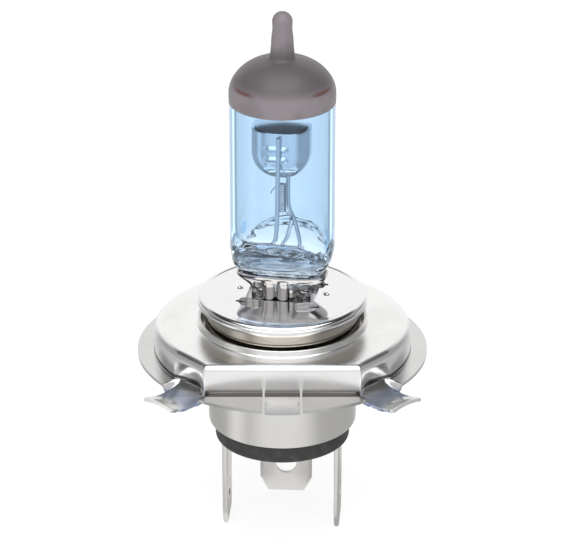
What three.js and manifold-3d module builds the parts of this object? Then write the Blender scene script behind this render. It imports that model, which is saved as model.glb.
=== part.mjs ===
// Twin-filament halogen headlight bulb on a three-lug prefocus cap.
//
// Frame, in millimetres: z = 0 is the reference plane, the glass-side face of the flange, and +Z runs
// along the lamp's axis to the exhaust tip. -Y is the side of the ring that is cut flat, which faces
// down in a headlamp. The glass, its mount and the focus plate sit turned a few degrees about the
// axis against the ring, and so does the connector block, as they were set when the bulb was focused.

import * as THREE from 'three';
import { mergeVertices } from 'three/addons/utils/BufferGeometryUtils.js';
import Module from 'manifold-3d';

const wasm = await Module();
wasm.setup();

// ---------------------------------------------------------------- driving dimensions

const ROUND_STEPS = 40;            // facets round a full turn of the metal parts
const GLASS_STEPS = 32;            // facets round the glass and its coating
const SHEET = 0.65;                // sheet steel of the ring and flange
const WELD_GAP = 0.3;              // clearance left at a welded or gripped joint

const FLANGE_RADIUS = 21.5;
const RING_RADIUS = 18.95;         // outer wall of the ring
const RING_TOP = 4.15;
const RING_EDGE = 1.1;             // rounding of the ring's upper edge
const FLAT_Y = -15.7;              // the flat on the ring's front
const FLAT_HALF = 11.35;
const RECESS_END = 56;             // degrees from the front to the end of the recess behind a lug
const COLLAR_RADIUS = 12.6;
const COLLAR_TOP = 5.1;
const COLLAR_WALL = 0.55;

const LUG_TIP = 26.1;
const LUG_ROOT = 16.9;             // where a front lug leaves the ring's wall, from the axis
const REAR_LUG_ROOT = 18;
const LUG_WIDTH = 5.7;
const LUG_ANGLE = 43.5;            // degrees from the flat's middle to each front lug
const REAR_LUG_WIDTH = 8;
const LUG_DIP = -1.0;              // lowest point of a lug's upper face
const LUG_END = -0.1;              // height of a lug's upper face at its tip
const SLIT_X = 2.7;
const SLIT_WIDTH = 0.7;
const SLIT_TOP = 1.1;

const MOUNT_TURN = -10.5;          // degrees, the glass, clamp and focus plate about the axis
const CONNECTOR_TURN = -4;         // degrees, the insulator and its blades about the axis

const PLATE_TOP = 8.65;
const PLATE_RADIUS = 12.6;
const PLATE_SHEET = 0.45;
const PLATE_ROLL = 0.9;            // radius of the plate's rolled rim
const WINDOW_HALF = [5.1, 3.1];    // half width and half depth of the plate's window
const FOOT_SLOT = [5.35, 4.0];     // x and y of the slots for the clamp's feet
const FOOT_SLOT_HALF = [0.8, 0.25];
const DIMPLE = [6.45, 0.7];        // x and y of the plate's two locating pips
const DIMPLE_RADIUS = 0.5;
const CUP_RADIUS = 11.5;
const CUP_WALL = 0.5;
const CUP_BOTTOM = 3.6;
const CUP_FLARE = 0.25;            // step of the cup's top, which the plate's rim is rolled over

const SHELL_RADIUS = 11.05;
const SHELL_WALL = 0.5;
const SHELL_BOTTOM = -11.6;
const SHELL_FLANGE = 14.2;         // radius of the shell's flange under the ring
const SHELL_BEND = 0.8;
const INSULATOR_RADIUS = 10.05;
const INSULATOR_TOP = -9.3;
const INSULATOR_BOTTOM = -14.6;

const BLADE_WIDTH = 8;
const BLADE_THICK = 0.8;
const BLADE_END = -28.9;
const BLADE_OFFSET = 8.4;          // from the axis to the middle of each blade's thickness
const BLADE_HOLE = 1.6;            // radius of the detent hole
const BLADE_HOLE_Z = -24.1;
const BLADE_CHAMFER = [1.25, 2.3]; // width and height taken off each lower corner
const TAB_HALF = 1.5;              // half width of the weld tab inside the base
const TAB_TOP = -5.5;
const SLOT_GAP = 0.2;              // clearance round a blade in the insulator

const GLASS_RADIUS = 7.6;
const GLASS_WALL = 0.95;
const TIP_TOP = 52.6;
const COATING = 0.3;
const COATING_EDGE = 39;
const PINCH_HALF = 4.3;
const PINCH_THICK_HALF = 1.8;
const PINCH_BOTTOM = 6.2;
const PINCH_TOP = 12.2;
const SHOULDER_Z = 17.2;

const CLAMP_SHEET = 0.35;
const CLAMP_BOTTOM = 5.4;
const CLAMP_MOUTH = 1.7;           // how far the clamp's mouth flares out
const STEM_HALF = 2.4;             // half width of the folded stem on the clamp's front and back
const FOOT_ACROSS = [2.3, 4.4];    // x range of a clamp foot
const FOOT_ALONG = [2.1, 6.6];     // y range of a clamp foot

const FOIL_PITCH = 2.75;           // between the three foils in the pinch
const FOIL_HALF = [0.65, 0.06];    // half width and half thickness of a foil
const FOIL_Z = [7.6, 12.25];
const LEAD_RADIUS = 0.4;
const SUPPORT_RADIUS = 0.32;

const HIGH_FILAMENT = [21.8, 26.3];
const LOW_FILAMENT = [28.5, 34];
const LOW_FILAMENT_Y = -1.1;
const COIL_RADIUS = 0.5;
const FILAMENT_WIRE = 0.1;

const SHIELD_HALF = 4.3;
const SHIELD_DEPTH = 4.5;
const SHIELD_TOP = 36;
const SHIELD_BOTTOM = 27.5;
const SHIELD_BACK = 0.3;           // y of the shield's open back
const SHIELD_RIBS = [31.8, 33.4];  // heights of the two pressed ribs
const RIB_RADIUS = 0.3;
const SHIELD_SHEET = 0.3;
const SHIELD_STEPS = 24;           // facets round the shield before its back is cut off

// ---------------------------------------------------------------- finishes

const FINISHES = {
  quartz: [0xbfdcf4, 0.02, 0],
  coating: [0x8a8083, 0.6, 0],
  tungsten: [0x5d6a78, 0.45, 1],
  molybdenum: [0x8fa9bf, 0.3, 1],
  bright_steel: [0xe6e4e2, 0.12, 1],
  satin_steel: [0xcfccc6, 0.32, 1],
  tinned_brass: [0xbdb8b0, 0.45, 1],
  insulation: [0x3c3d3c, 0.7, 0],
};

function finish(name) {
  const [color, roughness, metalness] = FINISHES[name];
  const glass = name === 'quartz';
  return new THREE.MeshStandardMaterial({
    color, roughness, metalness, transparent: glass, opacity: glass ? 0.35 : 1,
  });
}

// ---------------------------------------------------------------- solids

const radians = THREE.MathUtils.degToRad;

/** A closed manifold solid from a three.js geometry whose coincident vertices are welded. */
function solid(geometry) {
  geometry.deleteAttribute('normal');
  geometry.deleteAttribute('uv');
  const welded = mergeVertices(geometry, 1e-4);
  const corners = welded.index.array;
  const points = welded.attributes.position.array;
  const triangles = [];
  for (let i = 0; i < corners.length; i += 3) {
    const [a, b, c] = [corners[i], corners[i + 1], corners[i + 2]];
    if (a !== b && b !== c && c !== a) {
      triangles.push(a, b, c);
    }
  }
  if (signedVolume(points, triangles) < 0) {
    triangles.reverse();
  }
  return new wasm.Manifold(new wasm.Mesh({
    numProp: 3,
    vertProperties: new Float32Array(points),
    triVerts: new Uint32Array(triangles),
  }));
}

function signedVolume(points, triangles) {
  const corner = (k) => new THREE.Vector3().fromArray(points, 3 * triangles[k]);
  let total = 0;
  for (let i = 0; i < triangles.length; i += 3) {
    total += corner(i).dot(corner(i + 1).cross(corner(i + 2))) / 6;
  }
  return total;
}

function toGeometry(manifold) {
  const mesh = manifold.getMesh();
  const geometry = new THREE.BufferGeometry();
  geometry.setAttribute('position', new THREE.BufferAttribute(mesh.vertProperties, 3));
  geometry.setIndex(new THREE.BufferAttribute(mesh.triVerts, 1));
  geometry.computeVertexNormals();
  return geometry;
}

/** A solid of revolution about Z from [radius, height] points; an off-axis profile is closed here. */
function revolve(profile, steps = ROUND_STEPS, shapeVertex = null) {
  const points = profile.map(([r, z]) => new THREE.Vector2(r, z));
  if (points[0].x > 0) {
    points.push(points[0].clone());
  }
  const geometry = new THREE.LatheGeometry(points, steps).rotateX(Math.PI / 2);
  if (shapeVertex) {
    const position = geometry.attributes.position;
    const vertex = new THREE.Vector3();
    for (let i = 0; i < position.count; i += 1) {
      shapeVertex(vertex.fromBufferAttribute(position, i));
      position.setXYZ(i, vertex.x, vertex.y, vertex.z);
    }
  }
  return solid(geometry);
}

/** Points of an arc in a [radius, height] profile, from one angle to another in degrees. */
function arc(centreR, centreZ, radius, from, to, steps) {
  const points = [];
  for (let i = 0; i <= steps; i += 1) {
    const angle = radians(from + ((to - from) * i) / steps);
    points.push([centreR + radius * Math.cos(angle), centreZ + radius * Math.sin(angle)]);
  }
  return points;
}

/** A flat shape in X and Y, extruded from one height to another, with its upper edge rounded. */
function extrude(shape, bottom, top, edge) {
  const rounded = new THREE.ExtrudeGeometry(shape, {
    depth: top - bottom,
    bevelThickness: edge,
    bevelSize: edge,
    bevelOffset: -edge,
    bevelSegments: 2,
    curveSegments: 12,
  });
  rounded.translate(0, 0, bottom - edge);
  return solid(rounded).subtract(box([-50, 50], [-50, 50], [bottom - 4 * edge - 1, bottom]));
}

function box([x0, x1], [y0, y1], [z0, z1]) {
  const geometry = new THREE.BoxGeometry(x1 - x0, y1 - y0, z1 - z0);
  return solid(geometry.translate((x0 + x1) / 2, (y0 + y1) / 2, (z0 + z1) / 2));
}

/** A box from its middle and half widths in plan, and its range of height. */
function around([x, y], [halfX, halfY], heights) {
  return box([x - halfX, x + halfX], [y - halfY, y + halfY], heights);
}

/** A round bar of constant radius along a smooth curve through the given points. */
function wire(points, radius, steps, sides = 6) {
  const curve = new THREE.CatmullRomCurve3(points.map((p) => new THREE.Vector3(...p)));
  curve.arcLengthDivisions = 20 * steps;
  const section = [];
  for (let i = 0; i < sides; i += 1) {
    const angle = (2 * Math.PI * i) / sides;
    section.push(new THREE.Vector2(radius * Math.cos(angle), radius * Math.sin(angle)));
  }
  return solid(new THREE.ExtrudeGeometry(new THREE.Shape(section), { extrudePath: curve, steps }));
}

/** Moves a vertex of a round body onto a superellipse: depth is b / a, power 2 is an ellipse. */
function squash(vertex, depth, power) {
  const radius = Math.hypot(vertex.x, vertex.y);
  if (radius < 1e-6) {
    return;
  }
  const bend = (value) => Math.sign(value) * Math.abs(value) ** (2 / power);
  const [c, s] = [vertex.x / radius, vertex.y / radius];
  vertex.x = radius * bend(c);
  vertex.y = radius * depth * bend(s);
}

function turn(point, degrees) {
  const [x, y, z] = point;
  const angle = radians(degrees);
  return [x * Math.cos(angle) - y * Math.sin(angle), x * Math.sin(angle) + y * Math.cos(angle), z];
}

// ---------------------------------------------------------------- flange ring

/** Plan outline of the ring's wall: the flat, a recess behind each front lug and the round back. */
function ringOutline(inset) {
  const radius = RING_RADIUS - inset;
  const start = radians(RECESS_END - 90);
  const [ax, ay] = [radius * Math.cos(start), radius * Math.sin(start)];
  const [cx, cy] = [FLAT_HALF - 0.6 * inset, FLAT_Y + inset];
  const near = [FLAT_HALF + 0.25 - 0.8 * inset, -13.0 + 0.7 * inset];
  const far = [13.2 - 0.8 * inset, -11.6 + 0.7 * inset];
  const shape = new THREE.Shape();
  shape.moveTo(-cx, cy);
  shape.lineTo(cx, cy);
  shape.bezierCurveTo(near[0], near[1], far[0], far[1], ax, ay);
  shape.absarc(0, 0, radius, start, Math.PI - start, false);
  shape.bezierCurveTo(-far[0], far[1], -near[0], near[1], -cx, cy);
  return shape;
}

/** A locating lug: a strip that dips out of the ring's wall and lifts again towards its tip. */
function lug(root, width, angle) {
  const top = new THREE.SplineCurve([
    new THREE.Vector2(root, 0.45),
    new THREE.Vector2(root + 1.6, -0.35),
    new THREE.Vector2(root + 3.8, LUG_DIP),
    new THREE.Vector2(LUG_TIP - 2, LUG_DIP + 0.25),
    new THREE.Vector2(LUG_TIP, LUG_END),
  ]).getPoints(12);
  const bottom = top.map((p) => new THREE.Vector2(p.x, p.y - SHEET)).reverse();
  const strip = new THREE.ExtrudeGeometry(new THREE.Shape([...top, ...bottom]), {
    depth: width, bevelEnabled: false,
  });
  strip.translate(0, 0, -width / 2).rotateX(Math.PI / 2).rotateZ(radians(angle));
  return solid(strip);
}

/** The rectangle of flange that a lug takes the place of. */
function lugClearance(root, width, angle) {
  const cutter = new THREE.BoxGeometry(LUG_TIP - root, width, 3);
  cutter.translate((LUG_TIP + root) / 2, 0, -1).rotateZ(radians(angle));
  return solid(cutter);
}

function flangeRing() {
  const wall = extrude(ringOutline(0), -0.3, RING_TOP, RING_EDGE);
  const hollow = extrude(ringOutline(SHEET), -2, RING_TOP - SHEET, RING_EDGE - SHEET);
  let flange = revolve([[0, -SHEET], [FLANGE_RADIUS, -SHEET], [FLANGE_RADIUS, 0], [0, 0]], 60);
  const lugs = [
    [LUG_ROOT, LUG_WIDTH, -90 - LUG_ANGLE],
    [LUG_ROOT, LUG_WIDTH, -90 + LUG_ANGLE],
    [REAR_LUG_ROOT, REAR_LUG_WIDTH, 90],
  ];
  for (const [root, width, angle] of lugs) {
    flange = flange.subtract(lugClearance(root + 1, width, angle));
  }
  let ring = wall.add(flange).subtract(hollow);
  for (const [root, width, angle] of lugs) {
    ring = ring.add(lug(root, width, angle));
  }
  const bore = COLLAR_RADIUS - COLLAR_WALL;
  const collar = revolve([
    [bore, RING_TOP - SHEET],
    [COLLAR_RADIUS + 1, RING_TOP - SHEET],
    [COLLAR_RADIUS + 1, RING_TOP],
    [COLLAR_RADIUS + 0.3, RING_TOP + 0.15],
    [COLLAR_RADIUS, RING_TOP + 0.5],
    [COLLAR_RADIUS, COLLAR_TOP - 0.15],
    [COLLAR_RADIUS - 0.15, COLLAR_TOP],
    [bore, COLLAR_TOP],
  ]);
  ring = ring.subtract(revolve([[0, -3], [bore, -3], [bore, 9], [0, 9]])).add(collar);
  for (const side of [-1, 1]) {
    const slit = [side * SLIT_X - SLIT_WIDTH / 2, side * SLIT_X + SLIT_WIDTH / 2];
    ring = ring.subtract(box(slit, [-23, FLAT_Y + SHEET + 0.2], [-3, SLIT_TOP]));
  }
  return ring;
}

// ---------------------------------------------------------------- focus parts and base

/** The focus plate: a polished disc with a rolled rim, a window for the clamp and four foot slots. */
function focusPlate() {
  const under = PLATE_TOP - PLATE_SHEET;
  const skirt = PLATE_TOP - 1.3;
  const through = [5, 10];
  let plate = revolve([
    [0, under],
    [PLATE_RADIUS - PLATE_ROLL - 0.35, under],
    ...arc(PLATE_RADIUS - PLATE_ROLL, under - 0.3, PLATE_ROLL - PLATE_SHEET, 90, 0, 2),
    [PLATE_RADIUS - PLATE_SHEET, skirt],
    [PLATE_RADIUS, skirt],
    ...arc(PLATE_RADIUS - PLATE_ROLL, PLATE_TOP - PLATE_ROLL + 0.15, PLATE_ROLL, 0, 90, 4),
    [PLATE_RADIUS - PLATE_ROLL - 0.5, PLATE_TOP],
    [0, PLATE_TOP],
  ]);
  plate = plate.subtract(around([0, 0], WINDOW_HALF, through));
  for (const side of [-1, 1]) {
    for (const front of [-1, 1]) {
      const slot = [side * FOOT_SLOT[0], front * FOOT_SLOT[1]];
      plate = plate.subtract(around(slot, FOOT_SLOT_HALF, through));
    }
    const centre = [side * DIMPLE[0], DIMPLE[1]];
    const ball = new THREE.SphereGeometry(DIMPLE_RADIUS, 8, 6).translate(...centre, PLATE_TOP);
    plate = plate.add(solid(ball).subtract(around(centre, [1, 1], [5, PLATE_TOP - 0.2])));
  }
  return plate;
}

/** The drawn cup under the focus plate, with the collar that the plate's rim is rolled over. */
function focusCup() {
  const top = PLATE_TOP - PLATE_SHEET - WELD_GAP;
  const inner = CUP_RADIUS - CUP_WALL;
  return revolve([
    [inner, CUP_BOTTOM],
    [CUP_RADIUS, CUP_BOTTOM],
    [CUP_RADIUS, top - 0.7],
    [CUP_RADIUS + CUP_FLARE, top - 0.45],
    [CUP_RADIUS + CUP_FLARE, top],
    [inner, top],
  ]);
}

/** The base shell: a tube with an outward flange that is welded under the ring. */
function baseShell() {
  const inner = SHELL_RADIUS - SHELL_WALL;
  const top = RING_TOP - SHEET - WELD_GAP;
  const bendTop = top - SHELL_WALL - SHELL_BEND;
  const bendR = SHELL_RADIUS + SHELL_BEND;
  return revolve([
    [inner, SHELL_BOTTOM],
    [SHELL_RADIUS - 0.1, SHELL_BOTTOM],
    [SHELL_RADIUS, SHELL_BOTTOM + 0.2],
    [SHELL_RADIUS, bendTop],
    ...arc(bendR, bendTop, SHELL_BEND, 180, 90, 2),
    [SHELL_FLANGE, top - SHELL_WALL],
    [SHELL_FLANGE, top],
    ...arc(bendR, bendTop, SHELL_BEND + SHELL_WALL, 90, 180, 2),
  ]);
}

/** The insulator that closes the base, with a slot for each blade. */
function insulator() {
  let body = revolve([
    [0, INSULATOR_BOTTOM],
    ...arc(INSULATOR_RADIUS - 0.6, INSULATOR_BOTTOM + 0.6, 0.6, -90, 0, 2),
    [INSULATOR_RADIUS, INSULATOR_TOP],
    [0, INSULATOR_TOP],
  ]);
  const half = BLADE_WIDTH / 2 + SLOT_GAP;
  const thick = BLADE_THICK / 2 + SLOT_GAP;
  const slot = [BLADE_OFFSET - thick, BLADE_OFFSET + thick];
  body = body.subtract(box(slot, [-half, half], [-20, 0]));
  body = body.subtract(box([-slot[1], -slot[0]], [-half, half], [-20, 0]));
  return body.subtract(box([-half, half], slot, [-20, 0]));
}

/** A connector blade, drawn in X and Z and centred on Y: a narrow weld tab above, chamfers below. */
function blade() {
  const half = BLADE_WIDTH / 2;
  const [cut, rise] = BLADE_CHAMFER;
  const shape = new THREE.Shape([
    [-half + cut, BLADE_END], [half - cut, BLADE_END], [half, BLADE_END + rise],
    [half, -10], [TAB_HALF, -9], [TAB_HALF, TAB_TOP], [-TAB_HALF, TAB_TOP], [-TAB_HALF, -9],
    [-half, -10], [-half, BLADE_END + rise],
  ].map(([x, z]) => new THREE.Vector2(x, z)));
  const hole = new THREE.Path();
  hole.absarc(0, BLADE_HOLE_Z, BLADE_HOLE, 0, 2 * Math.PI, true);
  shape.holes.push(hole);
  const geometry = new THREE.ExtrudeGeometry(shape, {
    depth: BLADE_THICK, bevelEnabled: false, curveSegments: 10,
  });
  return geometry.translate(0, 0, -BLADE_THICK / 2).rotateX(Math.PI / 2);
}

// ---------------------------------------------------------------- glass

/** Half-depth over half-width of the glass at a height, and how square its section is there. */
function glassSection(z) {
  const squeezed = THREE.MathUtils.clamp((SHOULDER_Z - z) / (SHOULDER_Z - PINCH_TOP), 0, 1);
  const depth = THREE.MathUtils.lerp(1, PINCH_THICK_HALF / PINCH_HALF, squeezed ** 1.4);
  return [depth, 2 + 4 * squeezed ** 2];
}

/** Dome profile, from the axis out: a flattened quarter oval under a drawn-off tip. */
function domeProfile(radius, inset) {
  const [baseZ, topZ] = [40.5, 45.65 - inset];
  const tip = 1.72 - inset;
  const points = arc(0, TIP_TOP - 1.5, 1.5 - inset, 90, 10, 3);
  points.push([tip, 48.3], [tip + 0.1, 46.6]);
  for (let i = 1; i <= 6; i += 1) {
    const angle = radians(74 - (74 * i) / 6);
    points.push([
      radius * Math.cos(angle) ** 0.86,
      baseZ + (topZ - baseZ) * Math.sin(angle) ** 1.12,
    ]);
  }
  return points;
}

function glassEnvelope() {
  const squeeze = (v) => squash(v, ...glassSection(v.z));
  const neck = GLASS_RADIUS - 0.2;
  const outer = revolve([
    ...domeProfile(neck, 0.35),
    [neck, COATING_EDGE],
    [GLASS_RADIUS, COATING_EDGE - 0.3],
    [GLASS_RADIUS, SHOULDER_Z],
    [7.55, 15.7],
    [7.2, 14.4],
    [6.4, 13.4],
    [5.3, 12.7],
    [PINCH_HALF, PINCH_TOP],
    [PINCH_HALF, PINCH_BOTTOM],
    [0, PINCH_BOTTOM],
  ], GLASS_STEPS, squeeze);
  const bore = GLASS_RADIUS - GLASS_WALL;
  const inside = revolve([
    [0, 44.3], [2.6, 44.1], [4.6, 43.2], [6.0, 41.8], [bore, 40], [bore, SHOULDER_Z],
    [6.4, 15.9], [5.6, 14.9], [3.8, 14.1], [0, 13.9],
  ], GLASS_STEPS, squeeze);
  let glass = outer.subtract(inside);
  for (const column of [-1, 0, 1]) {
    const x = column * FOIL_PITCH;
    glass = glass.subtract(box([x - 1, x + 1], [-0.65, 0.65], [5, 15]));
  }
  return glass;
}

/** The opaque coating over the dome and tip, a skin with a little clearance to the glass. */
function antiGlareCap() {
  const radius = GLASS_RADIUS + 0.15;
  return revolve([
    ...domeProfile(radius, 0),
    [radius, COATING_EDGE],
    [radius - COATING, COATING_EDGE],
    ...domeProfile(radius - COATING, 0.3).reverse(),
  ], GLASS_STEPS);
}

// ---------------------------------------------------------------- filaments, shield and wires

/** A coiled filament round the Z axis at x, y, with a short leg leading off each end. */
function filament([x, y], [bottom, top], turns, firstLeg, lastLeg) {
  const points = [...firstLeg];
  const stepsPerTurn = 6;
  for (let i = 0; i <= turns * stepsPerTurn; i += 1) {
    const angle = (2 * Math.PI * i) / stepsPerTurn;
    const height = bottom + ((top - bottom) * i) / (turns * stepsPerTurn);
    points.push([x + COIL_RADIUS * Math.cos(angle), y + COIL_RADIUS * Math.sin(angle), height]);
  }
  points.push(...lastLeg);
  return wire(points, FILAMENT_WIRE, (turns + 2) * stepsPerTurn, 4);
}

/** The dipped-beam shield: a spoon-shaped cup with a flat top wall, open to the back. */
function dippedBeamShield() {
  const flatten = (half, depth) => (v) => squash(v, depth / half, 3);
  const bowl = (half, low, high) => [
    [0, low],
    ...arc(0, low + half, half, -72, 0, 4),
    [half, high - 0.5],
    [half - 0.5, high],
    [0, high],
  ];
  const cup = revolve(bowl(SHIELD_HALF, SHIELD_BOTTOM, SHIELD_TOP), SHIELD_STEPS,
    flatten(SHIELD_HALF, SHIELD_DEPTH));
  const half = SHIELD_HALF - SHIELD_SHEET;
  const hollow = revolve(bowl(half, SHIELD_BOTTOM + SHIELD_SHEET, SHIELD_TOP - SHIELD_SHEET), SHIELD_STEPS,
    flatten(half, SHIELD_DEPTH - SHIELD_SHEET));
  let shield = cup.subtract(hollow).subtract(box([-9, 9], [SHIELD_BACK, 9], [20, 45]));
  for (const z of SHIELD_RIBS) {
    const rib = new THREE.CapsuleGeometry(RIB_RADIUS, 2.2, 2, 6).rotateZ(Math.PI / 2);
    shield = shield.add(solid(rib.translate(0, -SHIELD_DEPTH + 0.15, z)));
  }
  return shield;
}

// ---------------------------------------------------------------- clamp

/** The pinch clamp: a sheet-metal sleeve round the pinch with a flared mouth and four feet. */
function pinchClamp() {
  const [w, d] = [PINCH_HALF + WELD_GAP, PINCH_THICK_HALF + WELD_GAP];
  const [outerW, outerD] = [w + CLAMP_SHEET, d + CLAMP_SHEET];
  const section = (v) => squash(v, outerD / outerW, 6);
  let clamp = revolve([
    [w, CLAMP_BOTTOM],
    [outerW, CLAMP_BOTTOM],
    [outerW, PINCH_TOP - 1.3],
    [outerW + CLAMP_MOUTH, PINCH_TOP - 0.1],
    [outerW + CLAMP_MOUTH - 0.1, PINCH_TOP + 0.2],
    [w, PINCH_TOP - 1],
  ], ROUND_STEPS, section);
  const stem = [CLAMP_BOTTOM + 0.2, PINCH_TOP - 1.2];
  clamp = clamp.add(box([-STEM_HALF, STEM_HALF], [-outerD - 0.4, -d - 0.15], stem));
  clamp = clamp.add(box([-STEM_HALF, STEM_HALF], [d + 0.15, outerD + 0.4], stem));
  for (const side of [-1, 1]) {
    for (const front of [-1, 1]) {
      clamp = clamp.add(clampFoot(side, front));
    }
  }
  return clamp;
}

/** One foot of the clamp: a strip from the sleeve's corner that lies along the focus plate. */
function clampFoot(side, front) {
  const rest = PLATE_TOP + 0.2;
  const across = FOOT_ACROSS.map((x) => side * x).sort((a, b) => a - b);
  const along = FOOT_ALONG.map((y) => front * y).sort((a, b) => a - b);
  return box(across, along, [rest, rest + CLAMP_SHEET]);
}

// ---------------------------------------------------------------- assembly

const lamp = new THREE.Group();
const mount = new THREE.Group();
mount.rotation.z = radians(MOUNT_TURN);
const connector = new THREE.Group();
connector.rotation.z = radians(CONNECTOR_TURN);
lamp.add(mount, connector);

function place(parent, name, shape, finishName) {
  const geometry = shape instanceof THREE.BufferGeometry ? shape : toGeometry(shape);
  const mesh = new THREE.Mesh(geometry, finish(finishName));
  mesh.name = name;
  parent.add(mesh);
  return mesh;
}

place(lamp, 'flange_ring', flangeRing(), 'satin_steel');
place(lamp, 'base_shell', baseShell(), 'satin_steel');
place(lamp, 'focus_cup', focusCup(), 'bright_steel');
place(mount, 'focus_plate', focusPlate(), 'bright_steel');
place(mount, 'pinch_clamp', pinchClamp(), 'bright_steel');
place(mount, 'glass_envelope', glassEnvelope(), 'quartz');
place(mount, 'anti_glare_cap', antiGlareCap(), 'coating');
place(mount, 'dipped_beam_shield', dippedBeamShield(), 'molybdenum');

place(mount, 'high_beam_filament', filament([0, 0], HIGH_FILAMENT, 9,
  [[1.1, 0.1, 20.9], [0.8, 0, 21.4]], [[0, -0.6, 26.6], [-0.6, -1.4, 26.4]]), 'tungsten');
place(mount, 'low_beam_filament', filament([0, LOW_FILAMENT_Y], LOW_FILAMENT, 10,
  [[1.3, -0.4, 27.9], [0.9, -0.9, 28.2]], [[0, -2, 34.3], [-0.3, -2.8, 34.4]]), 'tungsten');

const WIRE_ROUTES = {
  shield_support_wire: [
    [-FOIL_PITCH, 0, 12.6], [-FOIL_PITCH, 0, 14.6], [-1.9, -2.2, 16.4], [-0.5, -4.6, 18.4],
    [-0.15, -5, 21], [0, -5, 29], [0.1, -5, 35.3],
  ],
  high_beam_support_wire: [[0, 0, 12.6], [0, 0, 15.5], [0.6, 0.7, 17.6], [1.2, 0.75, 20.2]],
  low_beam_support_wire: [
    [FOIL_PITCH, 0, 12.6], [FOIL_PITCH, 0, 14.8], [2.4, 0.8, 17], [1.9, 1.5, 20],
    [1.2, 1.5, 23], [0.9, 1.4, 28.2],
  ],
};
for (const [name, route] of Object.entries(WIRE_ROUTES)) {
  place(mount, name, wire(route, SUPPORT_RADIUS, 12), 'molybdenum');
}

const BLADES = { left: 90, middle: 0, right: -90 };
const COLUMNS = { left: -1, middle: 0, right: 1 };
for (const side of Object.keys(BLADES)) {
  const x = COLUMNS[side] * FOIL_PITCH;
  place(mount, `foil_${side}`, around([x, 0], FOIL_HALF, FOIL_Z), 'molybdenum');
  const terminal = blade().translate(0, BLADE_OFFSET, 0).rotateZ(radians(BLADES[side]));
  place(connector, `terminal_${side}`, solid(terminal), 'tinned_brass');
  const reach = BLADE_OFFSET - BLADE_THICK / 2 - LEAD_RADIUS - WELD_GAP;
  const tab = turn([0, reach, -6], BLADES[side] + CONNECTOR_TURN);
  const start = turn([x, 0, 7.3], MOUNT_TURN);
  place(lamp, `lead_wire_${side}`, wire([
    start, [start[0], start[1], 4.5],
    [0.6 * start[0] + 0.4 * tab[0], 0.6 * start[1] + 0.4 * tab[1], 0],
    [tab[0], tab[1], -4.2], [tab[0], tab[1], -8.6],
  ], LEAD_RADIUS, 12), 'tinned_brass');
}
place(connector, 'base_insulator', insulator(), 'insulation');

export default lamp;
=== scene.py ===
"""Twin-filament halogen headlight bulb: the visible pieces, their finishes and the studio.

Lengths inside the shape functions are millimetres in the part's frame: +Z runs up the lamp's axis to
the exhaust tip and the flat of the ring faces -Y. The glass and the parts around its pinch are built
square to the axes and turned about Z last, and so are the connector blades and their insulator.
"""

import bmesh
import bpy
import numpy as np
from bpy.props import FloatProperty, FloatVectorProperty, PointerProperty
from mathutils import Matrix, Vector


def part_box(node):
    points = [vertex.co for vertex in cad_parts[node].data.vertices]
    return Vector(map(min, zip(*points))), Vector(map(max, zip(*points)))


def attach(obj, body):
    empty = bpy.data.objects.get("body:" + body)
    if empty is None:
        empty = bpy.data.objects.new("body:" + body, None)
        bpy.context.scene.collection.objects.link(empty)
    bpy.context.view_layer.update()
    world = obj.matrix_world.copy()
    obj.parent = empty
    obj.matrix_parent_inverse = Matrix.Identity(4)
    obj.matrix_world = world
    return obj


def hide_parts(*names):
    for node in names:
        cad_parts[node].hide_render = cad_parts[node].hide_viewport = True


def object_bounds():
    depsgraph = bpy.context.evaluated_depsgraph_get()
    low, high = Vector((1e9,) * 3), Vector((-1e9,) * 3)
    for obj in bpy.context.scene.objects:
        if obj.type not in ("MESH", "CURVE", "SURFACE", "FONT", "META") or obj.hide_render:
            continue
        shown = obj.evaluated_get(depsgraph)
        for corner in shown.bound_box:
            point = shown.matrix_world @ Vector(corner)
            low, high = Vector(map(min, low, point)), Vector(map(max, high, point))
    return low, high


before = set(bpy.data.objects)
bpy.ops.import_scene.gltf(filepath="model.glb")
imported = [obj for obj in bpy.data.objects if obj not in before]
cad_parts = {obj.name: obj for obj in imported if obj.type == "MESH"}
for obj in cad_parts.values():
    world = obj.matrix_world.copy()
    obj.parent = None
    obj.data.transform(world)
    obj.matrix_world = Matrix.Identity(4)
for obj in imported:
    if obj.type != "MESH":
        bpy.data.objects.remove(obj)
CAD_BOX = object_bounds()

bl_info = {
    "name": "Headlight Bulb",
    "version": (1, 0, 0),
    "blender": (4, 5, 0),
    "location": "View3D > Sidebar > Bulb",
    "description": "Builds a twin-filament headlight bulb around its packed frame",
    "category": "Object",
}

MM = 0.001
MOUNT_TURN = -10.5  # degrees, the glass, clamp and focus plate about the axis
CONNECTOR_TURN = -4.0  # degrees, the insulator and its blades about the axis
LUGS = ((-43.5, 2.85), (43.5, 2.85), (180.0, 4.0))  # degrees from the front, half width
BLADES = {"left": 90, "middle": 0, "right": -90}  # degrees of each connector blade from the back (+Y)
QUADRANTS = ((-1, -1), (-1, 1), (1, -1), (1, 1))


# ---------------------------------------------------------------- shapes as arrays


def outer_radius(node):
    """Largest distance of a frame node's corners from the lamp's axis, in metres."""
    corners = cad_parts[node].data.vertices
    flat = np.empty(len(corners) * 3)
    corners.foreach_get("co", flat)
    return float(np.hypot(flat[0::3], flat[1::3]).max())


def smoothstep(low, high, value):
    """0 below low, 1 above high and the cubic 3t^2 - 2t^3 between them."""
    t = np.clip((value - low) / (high - low), 0.0, 1.0)
    return t * t * (3.0 - 2.0 * t)


def unit(vectors):
    """Each vector divided by its length."""
    return vectors / np.maximum(np.linalg.norm(vectors, axis=-1, keepdims=True), 1e-9)


def net(x, y, z):
    """One array of points from coordinate arrays that broadcast together."""
    return np.stack(np.broadcast_arrays(x, y, z), axis=-1)


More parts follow.
